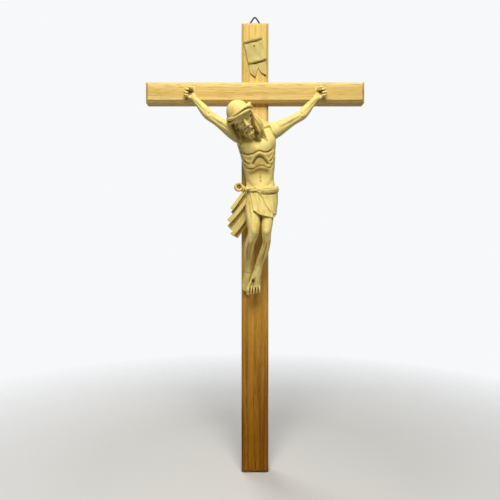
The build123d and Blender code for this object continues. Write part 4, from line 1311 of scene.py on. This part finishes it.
def make_loincloth(flesh):
    wrap = Wrap(flesh)
    bm = bmesh.new()
    add_panels(bm, wrap)
    add_belt(bm, wrap)
    add_hip_roll(bm, wrap)
    cloth = piece_from(bm, "loincloth", voxel=0.36, relax=7)
    cut = Carving(cloth)
    for line, radius, height, stain_and_shade, taper in CREASES:
        cut.stroke(line, radius, height, stain_and_shade, taper=taper)
    cut.rest_on(BOARD_FRONT)
    cut.finish(fine=3.4, broad=1.0)
    settle(cloth, "corpus_body", FLESH_WOOD)


def make_drape():
    """Bow of the knot, and the pleated end that hangs from it in three ridges."""
    bm = bmesh.new()
    loop = []
    thick = []
    for k in range(25):
        turn = 2 * pi * k / 24
        loop.append(at(-17.4 + 3.5 * cos(turn), 21.4 - 0.8 * cos(turn), 105.9 - 3.6 * sin(turn)))
        thick.append(1.5 - 0.25 * cos(turn))
    add_tube(bm, loop, thick, [2.7] * len(loop), sides=16, steps=1)
    add_ball(bm, at(-17.2, 20.0, 105.9), (3.2, 1.6, 3.2))
    add_ball(bm, at(-12.6, 22.6, 107.6), (2.0, 2.6, 2.5))
    add_tube(bm, [at(-14.4, 22.4, 104.4), at(-12.2, 24.6, 106.8), at(-12.8, 23.2, 110.4)], [0.9, 1.5, 1.0])

    def bar(start, end, wide, deep, bow=0.0):
        middle = tuple((a + b) / 2 for a, b in zip(start, end))
        middle = (middle[0] + bow, middle[1], middle[2] + bow)
        add_tube(bm, [at(*start), at(*middle), at(*end)], wide, deep, steps=4, square=True)

    # Ridges, then the faces that fall back between them
    bar((-11.6, 20.8, 110.6), (-25.2, 18.6, 129.2), (1.6, 1.9, 2.1), (2.0, 1.9, 1.7))
    bar((-7.4, 18.0, 116.6), (-28.3, 14.8, 141.9), (1.9, 2.3, 2.7), (2.2, 2.1, 1.9), 0.6)
    bar((-5.6, 15.0, 130.6), (-25.2, 10.6, 156.6), (1.8, 2.1, 2.3), (2.2, 2.1, 1.8), 0.6)
    bar((-9.6, 17.0, 114.0), (-24.2, 14.4, 133.6), (2.0, 2.3, 2.4), (1.6, 1.6, 1.5))
    bar((-6.4, 13.6, 124.0), (-27.6, 10.6, 149.4), (3.0, 3.4, 3.9), (1.8, 1.7, 1.5), 0.6)
    bar((-5.0, 10.0, 134.0), (-21.4, 7.0, 158.6), (2.2, 2.5, 2.6), (1.8, 1.7, 1.5), 0.6)
    drape = piece_from(bm, "loincloth_knot", voxel=0.34, relax=3)
    cut = Carving(drape)

    def stain_and_shade(points, radius, amount):
        cut.stroke([at(*p) for p in points], radius, 0.0, amount, flat=False, taper=0.05)

    # Stain and painted shade on the faces that fall back between the ridges, and painted shade in the hole of
    # the bow
    stain_and_shade([(-8.0, 18.8, 115.0), (-25.0, 16.2, 135.4)], 2.7, 0.62)
    stain_and_shade([(-6.0, 15.6, 124.0), (-27.8, 12.4, 149.6)], 3.4, 0.5)
    stain_and_shade([(-5.0, 11.6, 136.0), (-21.0, 8.4, 159.6)], 3.0, 0.5)
    stain_and_shade([(-17.6, 22.0, 106.0), (-16.4, 22.0, 106.0)], 3.0, 1.5)
    cut.rest_on(BOARD_FRONT)
    cut.finish(fine=3.0, broad=0.9)
    settle(drape, "loincloth_drape", FLESH_WOOD)


corpus_flesh = make_flesh()
make_loincloth(corpus_flesh.data)
settle(corpus_flesh, "corpus_body", FLESH_WOOD)
make_drape()


# Rows of the scroll's strips, from the top: (height, left, right, lift off the board)
SCROLL_PANEL = [
    (11.6, -10.0, 10.4, 0.2), (6.0, -10.3, 10.2, 0.5), (0.0, -10.5, 10.1, 0.3),
    (-6.0, -10.7, 10.0, 0.5), (-9.0, -10.7, 9.9, 0.9), (-11.6, -10.6, 9.9, 1.5),
]
LEFT_TAIL = [
    (457.0, -8.0, 3.6, 0.0), (452.0, -7.1, 3.6, 0.0), (449.6, -6.6, 3.3, 0.0), (446.0, -5.9, 2.4, 0.3),
    (442.6, -5.0, 1.5, 0.7), (440.6, -2.4, 0.9, 0.9), (438.8, -0.3, 0.4, 1.0),
]
RIGHT_TAIL = [
    (459.0, 3.0, 12.2, 0.0), (452.0, 3.0, 12.3, 0.0), (449.6, 3.4, 12.4, 0.0), (447.4, 4.4, 12.5, 0.1),
    (445.4, 5.5, 12.5, 0.3), (443.6, 6.8, 12.5, 0.6), (442.0, 9.4, 12.5, 0.8), (441.0, 11.6, 12.5, 0.9),
]
SCROLL_TILT = radians(14)
SCROLL_X = 0.3
SCROLL_Z = 467.625


def make_scroll():
    """Curled strip with a rolled top edge, a fold and a swallow-tail end, left blank."""
    bm = bmesh.new()

    def place(across, up, out):
        x = SCROLL_X + across * cos(SCROLL_TILT) - up * sin(SCROLL_TILT)
        z = SCROLL_Z + across * sin(SCROLL_TILT) + up * cos(SCROLL_TILT)
        return Vector((x, BOARD_FRONT - out, z))

    def straight(x, z, out):
        return Vector((x, BOARD_FRONT - out, z))

    def strip(to, rows, thick):
        """A strip between rows of (height, left, right, lift), laid by one of the two placings."""
        made = []
        for up, left, right, out in rows:
            acrosses = [left + (right - left) * k / 12 for k in range(13)]
            front = [to(x, up, out + thick + 0.25 * sin(0.6 * x + up * 0.3)) for x in acrosses]
            back = [to(x, up, out) for x in reversed(acrosses)]
            made.append(add_ring(bm, front + back))
        bmesh.ops.contextual_create(bm, geom=made[0])
        bmesh.ops.contextual_create(bm, geom=made[-1])
        bridge_rings(bm, made)

    strip(place, SCROLL_PANEL, 2.2)
    strip(straight, LEFT_TAIL, 1.3)
    strip(straight, RIGHT_TAIL, 1.3)
    add_tube(bm, [place(-10.2, 11.8, 2.2), place(0, 12.1, 2.3), place(10.6, 11.8, 2.1)], (1.9, 2.0, 1.9))
    add_tube(bm, [place(-10.6, -11.6, 2.0), place(0, -11.8, 2.4), place(9.9, -11.6, 2.2)], (1.15, 1.2, 1.1))
    scroll = piece_from(bm, "blank_scroll", voxel=0.26, relax=3)
    cut = Carving(scroll)
    # Grooves below the rolled edge and the fold, with painted shadow under their overhangs, and creases of
    # the tails
    for across, radius, height, stain_and_shade in (
        ([(-10.0, 9.2), (0, 9.5), (10.2, 9.2)], 0.9, -0.5, 0.7),
        ([(-10.6, -13.4), (0, -13.6), (9.6, -13.4)], 1.1, -0.25, 0.9),
    ):
        cut.stroke([place(a, up, 3) for a, up in across], radius, height, stain_and_shade)
    cut.stroke([(-4.6, 452.0), (-2.4, 442.0)], 0.8, -0.25, 0.2)
    cut.stroke([(0.6, 452.0), (0.4, 443.0)], 0.8, -0.2, 0.16)
    cut.stroke([(7.4, 454.0), (10.6, 443.6)], 0.8, -0.25, 0.2)
    cut.rest_on(BOARD_FRONT)
    cut.finish(fine=2.0, broad=0.8)
    settle(scroll, "titulus_scroll", SHADED_SCROLL_WOOD)


make_scroll()


NAIL_SIDES = 8
# Outline of a nail's head, as (out, up) in its radius
NAIL_HEAD = ((0.0, 0.62), (0.42, 0.5), (0.8, 0.24), (1.0, 0.0), (0.92, -0.16), (0.45, -0.22))


def make_nail(node, x, depth, z, radius, reach):
    """Forged nail: a faceted head hammered over a tapered square shank."""
    bm = bmesh.new()
    rows = []
    for out, up in NAIL_HEAD:
        ring = []
        for k in range(NAIL_SIDES):
            turn = 2 * pi * (k + 0.5) / NAIL_SIDES
            dent = 1 - 0.07 * (k % 3)
            off = radius * out * dent
            ring.append((x + off * cos(turn), BOARD_FRONT - depth - radius * up, z + off * sin(turn)))
        rows.append(add_ring(bm, ring))
    bridge_rings(bm, rows)
    bmesh.ops.contextual_create(bm, geom=rows[-1])
    bmesh.ops.remove_doubles(bm, verts=bm.verts, dist=0.01)
    drop = CROSSBAR_Z - z
    add_tube(bm, [at(x, depth, drop), at(x, depth - reach, drop)], [0.55, 0.3], steps=1, square=True)
    bmesh.ops.recalc_face_normals(bm, faces=bm.faces)
    edges = [e for e in bm.edges if e.is_manifold and e.calc_face_angle(0) > 0.5]
    bmesh.ops.bevel(
        bm, geom=edges, offset=0.06, offset_type="OFFSET", segments=2, profile=0.5,
        affect="EDGES", material=-1,
    )
    settle(piece_from(bm, "forged_" + node), node, FORGED_IRON)


make_nail("right_hand_nail", -HAND_X, CROSSBAR_PROUD + 4.6, CROSSBAR_Z - HAND_DROP, 1.55, 4.0)
make_nail("left_hand_nail", HAND_X, CROSSBAR_PROUD + 4.6, CROSSBAR_Z - HAND_DROP, 1.55, 4.0)
make_nail("feet_nail", FEET_NAIL_X, 19.9, FEET_NAIL_Z, 1.45, 8.0)
make_nail("titulus_pin", -0.9, 3.1, 472.6, 1.0, 2.6)

FLOOR_RADIUS = 3000.0
FLOOR_Z = -1.0
FADE_START = 0.18  # metres from the foot end, where the floor begins to fade into the surround
FADE_END = 0.62
SURROUND_LIGHT = 0.06  # what the surround adds to the lamps


def lay_floor():
    bm = bmesh.new()
    place = Matrix.Translation((0, 0, FLOOR_Z))
    bmesh.ops.create_circle(bm, cap_ends=True, segments=96, radius=FLOOR_RADIUS, matrix=place)
    floor = piece_from(bm, "floor")
    floor.data.transform(Matrix.Scale(MM, 4))
    pale = Finish("pale_floor")
    middle_gap = pale.node("VectorMath", {"operation": "LENGTH"}, out=1, _0=pale.node("TexCoord", out=3))
    fade = pale.level(middle_gap, FADE_START, FADE_END, 1.0, 0.0)
    pale.set(Base_Color=(0.86, 0.86, 0.85, 1), Roughness=0.8, Alpha=fade)
    floor.data.materials.append(pale.material)


def set_surround():
    """White to the eye and in reflections, and faint as a light."""
    world = bpy.data.worlds.new("studio")
    bpy.context.scene.world = world
    world.use_nodes = True
    surround = Nodes(world.node_tree)
    rays = surround.tree.nodes.new("ShaderNodeLightPath").outputs
    seen = surround.math("MAXIMUM", rays["Is Camera Ray"], rays["Is Glossy Ray"])
    seen = surround.math("MAXIMUM", seen, rays["Is Transmission Ray"])
    strength = surround.level(seen, 0.0, 1.0, SURROUND_LIGHT, 1.0)
    background = surround.node("Background", Color=(0.93, 0.94, 0.95, 1), Strength=strength)
    output = surround.tree.nodes.new("ShaderNodeOutputWorld")
    surround.put(output, "Surface", background)


def soft_light(name, place, aim, size, power, colour=(1, 1, 1)):
    lamp = bpy.data.lights.new(name, "AREA")
    lamp.energy = power
    lamp.size = size
    lamp.color = colour
    stand = bpy.data.objects.new(name, lamp)
    bpy.context.scene.collection.objects.link(stand)
    stand.location = place
    stand.rotation_euler = (Vector(aim) - Vector(place)).to_track_quat("-Z", "Y").to_euler()


PHOTO_WIDTH = 500  # pixels
FOCAL_LENGTH = 480  # in the same pixels
SENSOR_WIDTH = 36.0
CAMERA_PLACE = (-0.00555, -0.5411, 0.247)


def set_camera():
    """Level with the middle of the cross and straight before it."""
    lens = bpy.data.cameras.new("camera")
    lens.sensor_width = SENSOR_WIDTH
    lens.lens = SENSOR_WIDTH * FOCAL_LENGTH / PHOTO_WIDTH
    lens.clip_start = 0.01
    camera = bpy.data.objects.new("camera", lens)
    bpy.context.scene.collection.objects.link(camera)
    camera.location = CAMERA_PLACE
    camera.rotation_euler = (pi / 2, 0, 0)
    bpy.context.scene.camera = camera


lay_floor()
set_surround()
soft_light("key", (0.0, -0.48, 0.82), (0, 0, 0.34), 0.36, 5.5, (1.0, 0.965, 0.89))
soft_light("fill", (0.6, -1.0, 0.5), (0, 0, 0.3), 0.8, 0.6)
soft_light("back", (-0.6, 1.0, 0.9), (0, 0, 0.3), 0.9, 7.0)
set_camera()
bpy.context.scene.view_settings.view_transform = "Standard"
